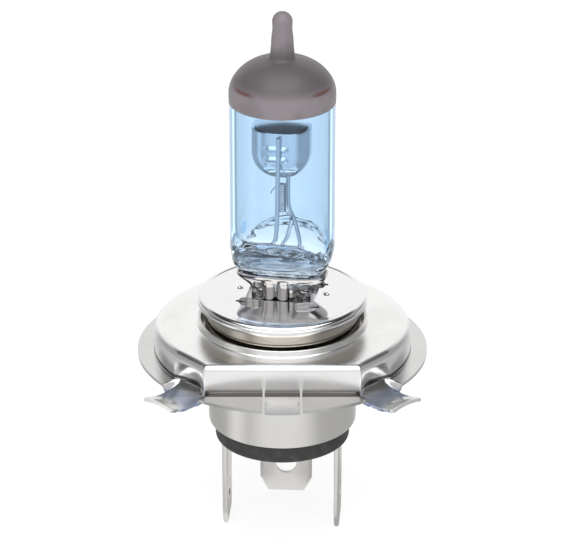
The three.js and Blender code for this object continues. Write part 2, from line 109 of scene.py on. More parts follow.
def signed_power(value, power):
    """The value's size raised to a power, with the value's sign."""
    return np.sign(value) * np.abs(value) ** power


def polar(radius, angle, height):
    """Points at a radius and a height, turned by an angle from the front (-Y) towards +X."""
    return net(radius * np.sin(angle), -radius * np.cos(angle), height)


def turned(points, degrees):
    """Points turned about the lamp's axis."""
    c, s = np.cos(np.radians(degrees)), np.sin(np.radians(degrees))
    x, y, z = np.moveaxis(np.asarray(points, float), -1, 0)
    return np.stack([c * x - s * y, s * x + c * y, z], axis=-1)


def turned_shells(shells, degrees):
    """The same shells turned about the lamp's axis."""
    return [(turned(points, degrees), faces) for points, faces in shells]


def rounded(corners, steps=6):
    """A profile through (radius, height, setback) corners.

    Each corner with a setback becomes a parabola that starts and ends that far along its two sides.
    """
    corners = np.asarray(corners, float)
    spots, setbacks = corners[:, :2], corners[:, 2:]
    before = spots + unit(np.roll(spots, 1, axis=0) - spots) * setbacks
    after = spots + unit(np.roll(spots, -1, axis=0) - spots) * setbacks
    t = np.linspace(0.0, 1.0, steps)[None, :, None]
    bends = before[:, None] * (1 - t) ** 2 + spots[:, None] * 2 * t * (1 - t) + after[:, None] * t**2
    pieces = [bend if back > 0 else bend[:1] for bend, back in zip(bends, setbacks[:, 0])]
    return np.concatenate(pieces)


def spline(points, count):
    """Catmull-Rom curve through the points, sampled evenly in its parameter."""
    p = np.asarray(points, float)
    p = np.concatenate([2 * p[:1] - p[1:2], p, 2 * p[-1:] - p[-2:-1]])
    place = np.linspace(0, len(p) - 3 - 1e-9, count)
    i = place.astype(int)
    t = (place - i)[:, None]
    a, b, c, d = p[i], p[i + 1], p[i + 2], p[i + 3]
    return 0.5 * (
        2 * b + (c - a) * t + (2 * a - 5 * b + 4 * c - d) * t**2 + (3 * b - a - 3 * c + d) * t**3
    )


def grid(points, around=True, along=False):
    """A shell from a rows x columns net of points, joined up around its rows and along its columns."""
    index = np.arange(points.shape[0] * points.shape[1]).reshape(points.shape[:2])
    if around:
        index = np.concatenate([index, index[:1]])
    if along:
        index = np.concatenate([index, index[:, :1]], axis=1)
    corners = [index[:-1, :-1], index[1:, :-1], index[1:, 1:], index[:-1, 1:]]
    return points.reshape(-1, 3), np.stack(corners, axis=-1).reshape(-1, 4)


def outward(shell, inward=False):
    """The shell with its faces turned out of its volume, or into it for a cavity's wall.

    The sign is that of the sum of the tetrahedra from the first point to both halves of each face.
    """
    points, faces = shell
    a, b, c, d = np.moveaxis(points[faces] - points[0], 1, 0)
    volume = float((a * np.cross(b, c)).sum() + (a * np.cross(c, d)).sum())
    return (points, faces[:, ::-1]) if (volume < 0) != inward else (points, faces)


def carried_round(profile, steps):
    """The net of a (radius, height) profile turned round the axis in even steps."""
    angle = np.linspace(0, 2 * np.pi, steps, endpoint=False)[:, None]
    radius, height = np.asarray(profile, float).T[:, None]
    return polar(radius, angle, height)


def revolve(profile, steps=256):
    """A closed (radius, height) profile carried round the axis."""
    return outward(grid(carried_round(profile, steps), along=True))


def normals_of(points, around):
    """Unit normals of a net: the cross product of its differences down the rows and columns."""
    if around:
        down = np.roll(points, -1, axis=0) - np.roll(points, 1, axis=0)
    else:
        down = np.gradient(points, axis=0)
    return unit(np.cross(down, np.gradient(points, axis=1)))


def sheet(points, thickness, around=True):
    """Sheet metal: the net of its outer face, and the same net moved in along its normals."""
    inner = points - normals_of(points, around) * thickness
    loop = np.concatenate([points, inner[:, ::-1]], axis=1)
    shell, faces = grid(loop, around=around, along=True)
    if around:
        return outward((shell, faces))
    columns = points.shape[1]
    place = np.arange(columns - 1)
    ends = []
    for row in (0, points.shape[0] - 1):
        outer_edge = row * 2 * columns + place
        inner_edge = (row + 1) * 2 * columns - 1 - place
        ends.append(np.stack([outer_edge, outer_edge + 1, inner_edge - 1, inner_edge], axis=-1))
    ends[0] = ends[0][:, ::-1]
    return outward((shell, np.concatenate([faces, *ends])))


def sweep(path, section, reference):
    """A closed section carried along a path, level with a reference direction, with flat ends."""
    path, section = np.asarray(path, float), np.asarray(section, float)
    along = unit(np.gradient(path, axis=0))
    side = unit(np.cross(along, np.asarray(reference, float)))
    up = np.cross(side, along)
    rows = path[:, None] + section[None, :, :1] * side[:, None] + section[None, :, 1:] * up[:, None]
    ends = [np.repeat(path[i][None, None], len(section), axis=1) for i in (0, -1)]
    net = np.concatenate([ends[0], rows, ends[1]])
    return outward(grid(net.swapaxes(0, 1), around=True))


def disc(radius, sides):
    """Points of a circle."""
    angle = np.linspace(0, 2 * np.pi, sides, endpoint=False)
    return np.stack([radius * np.cos(angle), radius * np.sin(angle)], axis=-1)


def bar_section(width, thickness, edge):
    """A rectangle with each corner rounded by an edge setback."""
    w, t = width / 2, thickness / 2
    return rounded([(-w, -t, edge), (w, -t, edge), (w, t, edge), (-w, t, edge)], 4)


def block(low, high, edge):
    """A box between two corners, as a square section carried up Z."""
    low, high = np.asarray(low, float), np.asarray(high, float)
    (x, y, _), (width, depth, _) = (low + high) / 2, high - low
    path = [(x, y, z) for z in np.linspace(low[2], high[2], 3)]
    return sweep(path, bar_section(depth, width, edge), (1, 0, 0))


# ---------------------------------------------------------------- meshes


def mesh_object(name, shells):
    """An object at the origin whose mesh joins the shells, in metres, with poles merged."""
    points = np.concatenate([shell[0] for shell in shells]) * MM
    starts = np.cumsum([0] + [len(shell[0]) for shell in shells[:-1]])
    faces = np.concatenate([shell[1] + start for shell, start in zip(shells, starts)])
    mesh = bpy.data.meshes.new(name)
    mesh.vertices.add(len(points))
    mesh.vertices.foreach_set("co", points.astype(np.float32).ravel())
    mesh.loops.add(faces.size)
    mesh.loops.foreach_set("vertex_index", faces.astype(np.int32).ravel())
    mesh.polygons.add(len(faces))
    mesh.polygons.foreach_set("loop_start", np.arange(0, faces.size, 4, dtype=np.int32))
    mesh.update(calc_edges=True)
    work = bmesh.new()
    work.from_mesh(mesh)
    bmesh.ops.remove_doubles(work, verts=work.verts, dist=2e-7)
    bmesh.ops.dissolve_degenerate(work, edges=work.edges, dist=1e-8)
    work.to_mesh(mesh)
    work.free()
    piece = bpy.data.objects.new(name, mesh)
    bpy.context.scene.collection.objects.link(piece)
    return piece


def cut_away(piece, shells):
    """Takes closed shells away from a piece and keeps the result as its mesh."""
    tool = mesh_object("cutter", shells)
    cut = piece.modifiers.new("cut", "BOOLEAN")
    cut.operation = "DIFFERENCE"
    cut.solver = "EXACT"
    cut.object = tool
    evaluated = piece.evaluated_get(bpy.context.evaluated_depsgraph_get())
    mesh = bpy.data.meshes.new_from_object(evaluated)
    piece.modifiers.clear()
    piece.data = mesh
    bpy.data.objects.remove(tool)


def finish_piece(piece, nodes, materials, sharp=35.0):
    """Smooth shading with sharp edges past an angle, the materials, and the piece's place."""
    mesh = piece.data
    mesh.polygons.foreach_set("use_smooth", np.ones(len(mesh.polygons), bool))
    mesh.set_sharp_from_angle(angle=np.radians(sharp))
    for material in materials:
        mesh.materials.append(material)
    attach(piece, "root")
    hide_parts(*nodes)


# ---------------------------------------------------------------- shader groups and materials


def new_group(name, inputs, outputs):
    """An empty shader node group with named sockets, and its input and output nodes."""
    group = bpy.data.node_groups.new(name, "ShaderNodeTree")
    for label, kind, value in inputs:
        socket = group.interface.new_socket(label, in_out="INPUT", socket_type=kind)
        if value is not None:
            socket.default_value = value
    for label, kind in outputs:
        group.interface.new_socket(label, in_out="OUTPUT", socket_type=kind)
    return group, group.nodes.new("NodeGroupInput"), group.nodes.new("NodeGroupOutput")


def node(tree, kind, values=None, **settings):
    """A new node with settings, and values or links for its inputs by name or place."""
    made = tree.nodes.new(kind)
    for key, value in settings.items():
        setattr(made, key, value)
    for key, value in (values or {}).items():
        if isinstance(value, bpy.types.NodeSocket):
            tree.links.new(value, made.inputs[key])
        else:
            made.inputs[key].default_value = value
    return made


def shared(tree, name, make, values):
    """A node of the named shader group, which is made the first time that it is asked for."""
    group = bpy.data.node_groups.get(name) or make()
    return node(tree, "ShaderNodeGroup", values, node_tree=group)


def math(tree, operation, *values):
    """The output of a Math node on one to three numbers or sockets."""
    made = node(tree, "ShaderNodeMath", dict(enumerate(values)), operation=operation)
    return made.outputs[0]


def ramp(tree, value, low, high, start, end):
    """A smooth map of a value's range low to high onto start to end."""
    made = node(
        tree,
        "ShaderNodeMapRange",
        {"Value": value, "From Min": low, "From Max": high, "To Min": start, "To Max": end},
        interpolation_type="SMOOTHSTEP",
    )
    return made.outputs["Result"]


def product(tree, first, *others):
    """The output of the Math nodes that multiply two or more numbers or sockets."""
    for other in others:
        first = math(tree, "MULTIPLY", first, other)
    return first


def blend(tree, factor, first, second):
    """A colour mixed from two colours or colour sockets."""
    made = node(tree, "ShaderNodeMix", {0: factor}, data_type="RGBA")
    for socket, value in ((6, first), (7, second)):
        if isinstance(value, bpy.types.NodeSocket):
            tree.links.new(value, made.inputs[socket])
        else:
            made.inputs[socket].default_value = (*value[:3], 1.0)
    return made.outputs[2]


def grain_group():
    """Drawn or brushed grain: noise on stretched coordinates, as a height and a roughness."""
    group, inside, outside = new_group(
        "Metal Grain",
        [
            ("Vector", "NodeSocketVector", None),
            ("Stretch", "NodeSocketVector", (1.0, 1.0, 1.0)),
            ("Scale", "NodeSocketFloat", 2000.0),
            ("Roughness", "NodeSocketFloat", 0.2),
            ("Spread", "NodeSocketFloat", 0.05),
        ],
        [("Height", "NodeSocketFloat"), ("Roughness", "NodeSocketFloat")],
    )
    stretched = node(
        group,
        "ShaderNodeVectorMath",
        {0: inside.outputs["Vector"], 1: inside.outputs["Stretch"]},
        operation="MULTIPLY",
    )
    fine = node(
        group,
        "ShaderNodeTexNoise",
        {"Vector": stretched.outputs[0], "Scale": inside.outputs["Scale"], "Detail": 5.0},
    )
    broad = node(group, "ShaderNodeTexNoise", {"Vector": inside.outputs["Vector"], "Scale": 160.0})
    both = math(group, "ADD", fine.outputs[0], broad.outputs[0])
    centred = math(group, "SUBTRACT", both, 1.0)
    rough = math(group, "MULTIPLY_ADD", centred, inside.outputs["Spread"], inside.outputs["Roughness"])
    group.links.new(fine.outputs[0], outside.inputs["Height"])
    group.links.new(math(group, "MAXIMUM", rough, 0.02), outside.inputs["Roughness"])
    return group


def tarnish_group():
    """Handling marks: soft cloudy patches that mix a second colour over the first."""
    group, inside, outside = new_group(
        "Tarnish",
        [
            ("Vector", "NodeSocketVector", None),
            ("Scale", "NodeSocketFloat", 120.0),
            ("Amount", "NodeSocketFloat", 0.4),
            ("Clean", "NodeSocketColor", (0.8, 0.8, 0.8, 1.0)),
            ("Dull", "NodeSocketColor", (0.6, 0.6, 0.6, 1.0)),
        ],
        [("Color", "NodeSocketColor")],
    )
    cloud = node(
        group,
        "ShaderNodeTexNoise",
        {"Vector": inside.outputs["Vector"], "Scale": inside.outputs["Scale"], "Detail": 4.0},
    )
    mask = product(group, ramp(group, cloud.outputs[0], 0.42, 0.72, 0.0, 1.0), inside.outputs["Amount"])
    colour = blend(group, mask, inside.outputs["Clean"], inside.outputs["Dull"])
    group.links.new(colour, outside.inputs["Color"])
    return group


def edge_group():
    """Edge wear: how far the surface is convex there, from the mesh's own pointiness."""
    group, inside, outside = new_group(
        "Edge Wear",
        [("Low", "NodeSocketFloat", 0.52), ("High", "NodeSocketFloat", 0.62)],
        [("Mask", "NodeSocketFloat")],
    )
    geometry = group.nodes.new("ShaderNodeNewGeometry")
    mask = ramp(
        group, geometry.outputs["Pointiness"], inside.outputs["Low"], inside.outputs["High"], 0.0, 1.0
    )
    group.links.new(mask, outside.inputs["Mask"])
    return group


def blank_material(name):
    """A node material, its tree, its Principled shader and its Object coordinates."""
    material = bpy.data.materials.new(name)
    material.use_nodes = True
    tree = material.node_tree
    place = tree.nodes.new("ShaderNodeTexCoord").outputs["Object"]
    return material, tree, tree.nodes["Principled BSDF"], place


def darker(colour, share):
    """A share of a colour."""
    return [share * part for part in colour]


def clouded(tree, place, clean, dull, amount, scale):
    """The clean colour with cloudy patches of the dull one."""
    values = {"Vector": place, "Scale": scale, "Amount": amount, "Clean": (*clean, 1.0), "Dull": (*dull, 1.0)}
    return shared(tree, "Tarnish", tarnish_group, values).outputs["Color"]


def grain_relief(tree, place, bump, depth=0.02 * MM, **values):
    """The roughness of the shared grain, and the normal of a relief of its height."""
    grain = shared(tree, "Metal Grain", grain_group, {"Vector": place, **values}).outputs
    relief = node(
        tree, "ShaderNodeBump", {"Height": grain["Height"], "Strength": bump, "Distance": depth}
    )
    return grain["Roughness"], relief.outputs[0]


def join(tree, shader, colour, roughness, normal):
    """Links a shader's colour, roughness and normal."""
    for socket, value in (("Base Color", colour), ("Roughness", roughness), ("Normal", normal)):
        tree.links.new(value, shader.inputs[socket])


def metal(name, clean, dull, roughness, spread, stretch, scale, bump, tarnish=0.4, worn=None):
    """A metal whose colour, roughness and relief vary through the shared groups."""
    material, tree, shader, place = blank_material(name)
    shader.inputs["Metallic"].default_value = 1.0
    colour = clouded(tree, place, clean, dull, tarnish, 120.0)
    if worn:
        edge = shared(tree, "Edge Wear", edge_group, {})
        colour = blend(tree, edge.outputs["Mask"], colour, worn)
    grain = grain_relief(
        tree, place, bump, Stretch=stretch, Scale=scale, Roughness=roughness, Spread=spread
    )
    join(tree, shader, colour, *grain)
    return material


def paint_ring_shade_and_reflection(material, flat, half):
    """Paints shade and a reflection over the pressed ring's colour.

    Painted shade darkens the corner at the foot of the round wall. Before the flat lies a dark band of
    painted shade and, beyond it, a half-dark apron. Where a lug dips well below the flange, a painted
    blue reflection of the bulb tints it a little.
    """
    tree = material.node_tree
    base = tree.nodes["Principled BSDF"].inputs["Base Color"]
    colour = base.links[0].from_socket
    # colours of the painted shade and of the painted blue reflection
    painted_shade, painted_blue_reflection = (0.05, 0.045, 0.04), (0.16, 0.27, 0.52)
    place = tree.nodes.new("ShaderNodeTexCoord").outputs["Object"]
    across, out, height = node(tree, "ShaderNodeSeparateXYZ", {0: place}).outputs
    # painted shade in the corner at the foot of the round wall, and a little over the flange behind the flat
    above = ramp(tree, height, 0.01 * MM, 0.07 * MM, 0.24, 0.88)
    below = ramp(tree, height, 0.45 * MM, 0.6 * MM, 1.0, 0.0)
    behind = ramp(tree, out, -flat, -flat + 0.5 * MM, 0.0, 1.0)
    colour = blend(tree, product(tree, above, below, behind), colour, painted_shade)
    # painted shade: a dark band before the flat, and a half-dark apron beyond it
    before = ramp(tree, out, -flat - 0.15 * MM, -flat - 0.02 * MM, 1.0, 0.0)
    middle = ramp(tree, math(tree, "ABSOLUTE", across), half - 0.35 * MM, half + 1.15 * MM, 1.0, 0.0)
    band = ramp(tree, out, -flat - 1.4 * MM, -flat - 1.15 * MM, 0.5, 0.97)
    low = ramp(tree, height, 0.08 * MM, 0.18 * MM, 1.0, 0.0)
    colour = blend(tree, product(tree, before, middle, band, low), colour, painted_shade)
    # painted reflection of the blue bulb where a lug dips well below the flange
    colour = blend(tree, ramp(tree, height, -0.95 * MM, -0.4 * MM, 0.6, 0.0), colour, painted_blue_reflection)
    tree.links.new(colour, base)


def quartz_material(name):
    """A blank material of clear quartz."""
    material, tree, shader, place = blank_material(name)
    for socket, value in (("Transmission Weight", 1.0), ("Roughness", 0.0), ("IOR", 1.46)):
        shader.inputs[socket].default_value = value
    return material, tree, shader, place


def film_glass(name, tint, clear, fade_low, fade_high):
    """Quartz whose outer film is tinted, deeper where it is seen edge on, and clear near the pinch."""
    material, tree, shader, place = quartz_material(name)
    height = node(tree, "ShaderNodeSeparateXYZ", {0: place}).outputs[2]
    streaks = node(tree, "ShaderNodeTexNoise", {"Vector": place, "Scale": 220.0, "Detail": 2.0})
    facing = node(tree, "ShaderNodeLayerWeight", {"Blend": 0.35}).outputs["Facing"]
    deep = blend(tree, product(tree, facing, 0.35), tint, [c**2.2 for c in tint])
    shifted = math(tree, "MULTIPLY_ADD", streaks.outputs[0], 2.4 * MM, height)
    film = ramp(tree, shifted, fade_low, fade_high, 0.0, 1.0)
    tree.links.new(blend(tree, film, clear, deep), shader.inputs["Base Color"])
    return material


def plain_quartz(name, clear):
    """The bare inner wall of the quartz: faint drawing lines, and painted light: a pale glow low down
    and a painted bright edge.

    The painted edge glows from inside the wall, where the bore is seen at a grazing angle.
    """
    material, tree, shader, place = quartz_material(name)
    height = node(tree, "ShaderNodeSeparateXYZ", {0: place}).outputs[2]
    facing = node(tree, "ShaderNodeLayerWeight", {"Blend": 0.5}).outputs["Facing"]
    bore = math(tree, "ABSOLUTE", math(tree, "SUBTRACT", facing, 0.302))
    inside = tree.nodes.new("ShaderNodeNewGeometry").outputs["Backfacing"]
    edge = product(tree, inside, ramp(tree, bore, 0.004, 0.02, 0.8, 0.0))
    # painted light: the pale glow low down and the bright edge are emission on the glass
    painted_glow = math(tree, "MAXIMUM", edge, ramp(tree, height, 14.0 * MM, 18.5 * MM, 0.2, 0.0))
    tree.links.new(painted_glow, shader.inputs["Emission Strength"])
    shader.inputs["Emission Color"].default_value = (0.82, 0.91, 1.0, 1.0)
    shader.inputs["Base Color"].default_value = (*clear, 1.0)
    _, relief = grain_relief(
        tree, place, 0.03, Stretch=(1.0, 1.0, 0.04), Scale=500.0, Roughness=0.0, Spread=0.0
    )
    tree.links.new(relief, shader.inputs["Normal"])
    return material


def coating_material(name, colour, dark, stain, dome_low, dome_high):
    """Matt paint: darker over the dome, cloudy, with a rusty trace where the dome meets the tube."""
    material, tree, shader, place = blank_material(name)
    x, _, height = node(tree, "ShaderNodeSeparateXYZ", {0: place}).outputs
    across = math(tree, "ABSOLUTE", x)
    cloud = clouded(tree, place, colour, dark, 0.35, 260.0)
    low = ramp(tree, height, dome_low, dome_low + 1.8 * MM, 0.0, 1.0)
    high = ramp(tree, height, dome_high - 2.0 * MM, dome_high, 1.0, 0.0)
    shade = blend(tree, product(tree, low, high, 0.8), cloud, dark)
    side = ramp(tree, across, 3.6 * MM, 5.2 * MM, 0.0, 1.0)
    near = ramp(tree, across, 6.2 * MM, 7.3 * MM, 1.0, 0.0)
    line = math(tree, "ABSOLUTE", math(tree, "SUBTRACT", height, dome_low + 0.8 * MM))
    band = ramp(tree, line, 0.05 * MM, 0.4 * MM, 1.0, 0.0)
    paint = blend(tree, product(tree, side, near, band, 0.8), shade, stain)
    join(tree, shader, paint, *grain_relief(tree, place, 0.25, Scale=2600.0, Roughness=0.42, Spread=0.12))
    return material


def moulded_material(name, colour, dusty):
    """Moulded thermoset: charcoal with a fine mottle and a little dust."""
    material, tree, shader, place = blank_material(name)
    mottle = clouded(tree, place, colour, dusty, 0.5, 700.0)
    grain = grain_relief(tree, place, 0.5, 0.03 * MM, Scale=3000.0, Roughness=0.55, Spread=0.2)
    join(tree, shader, mottle, *grain)
    return material


# ---------------------------------------------------------------- sizes and colours a user changes


def length(name, description, default):
    """A length property in metres."""
    return FloatProperty(name=name, description=description, default=default, unit="LENGTH", precision=5)


def colour(name, description, default):
    """A colour property."""
    return FloatVectorProperty(
        name=name, description=description, default=default, subtype="COLOR", min=0.0, max=1.0
    )


def top_of(part):
    """Height of a frame node's highest point, in metres."""
    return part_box(part)[1].z


def bottom_of(part):
    """Height of a frame node's lowest point, in metres."""
    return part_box(part)[0].z


class BulbRingSizes(bpy.types.PropertyGroup):
    """Sizes of the flange ring."""

    flange_radius: length("Flange radius", "Outer radius of the flange", 21.5 * MM)
    wall_radius: length("Wall radius", "Outer radius of the ring's wall at its foot", 19.0 * MM)
    top: length("Top", "Height of the ring's upper face above the reference plane", 4.15 * MM)
    rounding: length("Rounding", "Radius of the ring's upper edge", 1.1 * MM)
    sheet: length("Sheet", "Thickness of the pressed steel", 0.5 * MM)
    flat: length("Flat", "Distance of the front flat from the axis", 15.7 * MM)
    flat_half: length("Flat half width", "Half the width of the front flat", 11.35 * MM)
    collar_radius: length("Collar radius", "Outer radius of the drawn collar", 12.6 * MM)
    collar_top: length("Collar top", "Height of the collar", top_of("flange_ring"))
    lug_reach: length("Lug reach", "Distance of each lug's tip from the axis", 26.0 * MM)


class BulbGlassSizes(bpy.types.PropertyGroup):
    """Sizes of the quartz envelope and its coating."""

    radius: length("Tube radius", "Outer radius of the tube", outer_radius("glass_envelope"))
    wall: length("Wall", "Thickness of the tube", 0.95 * MM)
    tip_top: length("Tip top", "Height of the exhaust tip", top_of("anti_glare_cap"))
    coating_edge: length("Coating edge", "Height of the coating's lower edge", bottom_of("anti_glare_cap"))
    coating_radius: length("Coating radius", "Outer radius of the coating", outer_radius("anti_glare_cap"))


class BulbBaseSizes(bpy.types.PropertyGroup):
    """Sizes of the focus parts, the base tube, the insulator and the blades."""

    plate_radius: length("Plate radius", "Outer radius of the focus plate", outer_radius("focus_plate"))
    plate_top: length("Plate top", "Height of the focus plate's flat face", 8.65 * MM)
    cup_radius: length("Cup radius", "Outer radius of the focus cup", 11.5 * MM)
    tube_radius: length("Base tube radius", "Outer radius of the base tube", 11.05 * MM)
    tube_bottom: length("Base tube bottom", "Lower edge of the base tube", bottom_of("base_shell"))
    insulator_radius: length(
        "Insulator radius", "Outer radius of the insulator", outer_radius("base_insulator")
    )
    insulator_bottom: length("Insulator bottom", "Lower face", bottom_of("base_insulator"))
    blade_width: length("Blade width", "Width of a connector blade", 8.0 * MM)
    blade_end: length("Blade end", "Lower end of the blades", bottom_of("terminal_middle"))


class BulbColours(bpy.types.PropertyGroup):
    """Base colours of the finishes."""

    ring: colour("Ring", "Pressed ring steel", (0.90, 0.895, 0.89))
    tube: colour("Base tube", "Satin base tube", (0.74, 0.73, 0.70))
    cup: colour("Cup", "Polished cup with a warm cast", (0.63, 0.595, 0.53))
    plate: colour("Plate", "Bright plate", (0.83, 0.83, 0.84))
    clamp: colour("Clamp", "Bright spring steel", (0.50, 0.49, 0.48))
    film: colour("Blue film", "Tint of the film on the glass", (0.51, 0.74, 0.97))
    coating: colour("Coating", "Warm grey paint", (0.262, 0.232, 0.25))
    shield: colour("Shield", "Bright molybdenum", (0.82, 0.88, 0.96))
    filament: colour("Filament", "Drawn tungsten", (0.62, 0.64, 0.68))
    blade: colour("Blades", "Tinned brass", (0.73, 0.715, 0.685))
    insulator: colour("Insulator", "Charcoal moulding", (0.030, 0.030, 0.031))


class BulbStageSettings(bpy.types.PropertyGroup):
    """Camera and studio."""

    distance: length("Camera distance", "How far the camera stands in front of the axis", 412.1 * MM)
    height: length("Camera height", "Height of the camera above the reference plane", 200.2 * MM)
    pitch: FloatProperty(
        name="Pitch", description="How far the camera looks down", default=np.radians(24.62), subtype="ANGLE"
    )
    lens: FloatProperty(name="Lens", description="Focal length on a 36 mm sensor", default=195.77)
    floor: colour("Floor", "Pale studio floor", (0.26, 0.26, 0.26))
    glow: FloatProperty(name="Glow", description="How bright the paper is lit from behind", default=0.86)
    light: FloatProperty(name="Light", description="Strength of the studio light", default=1.0, min=0.0)


# ---------------------------------------------------------------- flange ring


RECESS_TOP = ((12.2, -14.4), (14.3, -12.3))  # inner Bezier points of a recess, at the wall's top
RECESS_FOOT = ((11.6, -13.0), (13.2, -11.6))  # and at its foot
RECESS_END = 56.0  # degrees from the front where the wall is round again
LIP_BEND, COLLAR_FILLET, FOOT_FILLET = 0.14, 0.22, 0.14  # radii
WALL_DRAFT = 0.1  # how much wider the wall is at its foot
LUG_DIP, LUG_LIFT, LUG_CROWN, LUG_ARCH = 0.88, 0.74, 0.3, 0.05  # heights of a lug's pressed forms
TONGUE_HALF, APRON_DROP = 2.3, 0.16  # the flange beside the tongue between the slits is lower
SLIT_X, SLIT_HALF, SLIT_TOP, SLIT_DEPTH = 2.7, 0.15, 1.1, 0.9


def wall_radius_at(angle, sizes, recess_points):
    """Radius of the ring's wall at an angle from the front.

    The flat is distance / cos(angle) up to its corner. A cubic Bezier recess then leads to the round
    back, and a narrow Gaussian average rounds the upright corners.
    """
    flat, half, back = sizes.flat / MM, sizes.flat_half / MM, sizes.wall_radius / MM - 0.05
    end = np.radians(RECESS_END)
    t = np.linspace(0, 1, 200)[:, None]
    start, last = np.array([half, -flat]), np.array([back * np.sin(end), -back * np.cos(end)])
    near, far = np.array(recess_points)
    curve = start * (1 - t) ** 3 + near * 3 * t * (1 - t) ** 2 + far * 3 * t**2 * (1 - t) + last * t**3
    count = 7200
    dense = np.linspace(-np.pi, np.pi, count, endpoint=False)
    side = np.abs(dense)
    recess = np.interp(side, np.arctan2(curve[:, 0], -curve[:, 1]), np.hypot(*curve.T))
    corner = np.arctan2(half, flat)
    radius = np.where(side < corner, flat / np.cos(np.minimum(side, corner)), recess)
    radius = np.where(side > end, back, radius)
    reach = np.arange(-40, 41)
    kernel = np.exp(-0.5 * (reach / 9.0) ** 2)
    smooth = np.convolve(np.tile(radius, 3), kernel / kernel.sum(), "same")[count : 2 * count]
    return np.interp(angle, dense, smooth, period=2 * np.pi)


def ring_angles(sizes):
    """Angles of the ring's net: even steps, closer at corners, creases and the sides of the lugs."""
    flange, tip = sizes.flange_radius / MM, sizes.lug_reach / MM
    corner = np.arctan2(sizes.flat_half, sizes.flat)
    angles = [np.linspace(-np.pi, np.pi, 350, endpoint=False)]
    for side in (-1, 1):
        angles.append(side * corner + np.radians(np.linspace(-2.4, 2.4, 17)))
        angles.append(side * np.radians(RECESS_END + np.linspace(-1.6, 1.6, 9)))
    for middle, half in LUGS:
        side = np.linspace(np.arctan2(half, tip), np.arcsin(half / flange), 7)
        side = np.concatenate([side, side[-1] + np.radians([0.4, 0.9, 1.5, 2.2])])
        inside = np.linspace(-side[0], side[0], 25)
        angles += [np.radians(middle) + side, np.radians(middle) - side, np.radians(middle) + inside]
    wrapped = (np.concatenate(angles) + np.pi) % (2 * np.pi) - np.pi
    return np.unique(np.round(wrapped, 5))


def flange_reach(angle, sizes):
    """Distance of the flange's edge from the axis at each angle: the round flange or a lug's outline."""
    reach = np.full_like(angle, sizes.flange_radius / MM)
    for middle, half in LUGS:
        off = np.abs((angle - np.radians(middle) + np.pi) % (2 * np.pi) - np.pi)
        side = half / np.maximum(np.sin(np.minimum(off, np.pi / 2)), 1e-6)
        tip = np.minimum(sizes.lug_reach / MM / np.cos(np.minimum(off, 1.2)), side)
        reach = np.where(off < 0.6, np.maximum(reach, tip), reach)
    return reach


def pressed_height(points, sizes):
    """How far the press moves each point of the flange up.

    A lug dips by an exponential of the distance from its root and lifts again by a cubic step, with
    parabolas across its arch and its crown.
    """
    height = np.zeros(points.shape[:2])
    for middle, half in LUGS:
        c, s = np.cos(np.radians(middle)), np.sin(np.radians(middle))
        x, y = points[..., 0], points[..., 1]
        along, across = x * s - y * c, np.abs(x * c + y * s)
        root = wall_radius_at(np.radians(middle), sizes, RECESS_FOOT) + 0.5
        arch = LUG_ARCH * (1 - smoothstep(0.3, 1.0, across / half))
        dip = LUG_DIP * (1 - np.exp(-np.maximum(along - root, 0) / 0.9))
        lift = LUG_LIFT * smoothstep(22.5, 26.6, along)
        crown = LUG_CROWN * smoothstep(21.0, 26.0, along) * (1 - (across / half) ** 2)
        weight = (1 - smoothstep(half, half + 0.85, across)) * (along > 10)
        height += weight * (arch - dip + lift + np.maximum(crown, 0))
    return height


def ring_surface(sizes):
    """The ring's upper face from the collar's lip to the flange's edge, one row per angle.

    Going outwards: rolled lip, collar wall, fillet, flat top, rounded edge, wall with a slight draft,
    foot fillet and flange. The flange is pressed last, and then the apron on both sides of the tongue
    drops by a step.
    """
    angle = ring_angles(sizes)[:, None]
    wall = wall_radius_at(angle, sizes, RECESS_TOP)
    foot = wall_radius_at(angle, sizes, RECESS_FOOT) + WALL_DRAFT
    collar, lip, top = sizes.collar_radius / MM, sizes.collar_top / MM - LIP_BEND, sizes.top / MM
    edge, neck = sizes.rounding / MM, sizes.collar_radius / MM + COLLAR_FILLET
    bend = np.linspace(0, np.pi / 2, 9)[None]
    step = np.linspace(0, 1, 9)[None, 1:-1]
    out = np.linspace(0, 1, 30)[None, 1:]
    rise, fall = np.sin(bend), np.cos(bend)
    shin = foot + FOOT_FILLET
    stretches = [
        (collar - LIP_BEND + LIP_BEND * rise, lip + LIP_BEND * fall),
        (collar + 0 * step, lip + (top + COLLAR_FILLET - lip) * step),
        (neck - COLLAR_FILLET * fall, top + COLLAR_FILLET - COLLAR_FILLET * rise),
        (neck + (wall - edge - neck) * step, top + 0 * step),
        (wall - edge + edge * rise, top - edge + edge * fall),
        (wall + (foot - wall) * step, top - edge + (FOOT_FILLET - top + edge) * step),
        (shin - FOOT_FILLET * fall, FOOT_FILLET - FOOT_FILLET * rise),
        (shin + (flange_reach(angle, sizes) - shin) * out, 0 * out),
    ]
    stretches = [np.broadcast_arrays(radius + 0 * wall, height) for radius, height in stretches]
    radius, height = np.concatenate(stretches, axis=2)
    points = polar(radius, angle, height)
    flange = np.concatenate([rise[0], np.ones(out.size)])
    settled = np.concatenate([np.zeros(radius.shape[1] - flange.size), flange])
    points[..., 2] += settled * pressed_height(points, sizes)
    beside = smoothstep(TONGUE_HALF, TONGUE_HALF + 0.2, np.abs(points[..., 0]))
    points[..., 2] -= APRON_DROP * smoothstep(16.6, 21.0, -points[..., 1]) * (1 - beside)
    return points


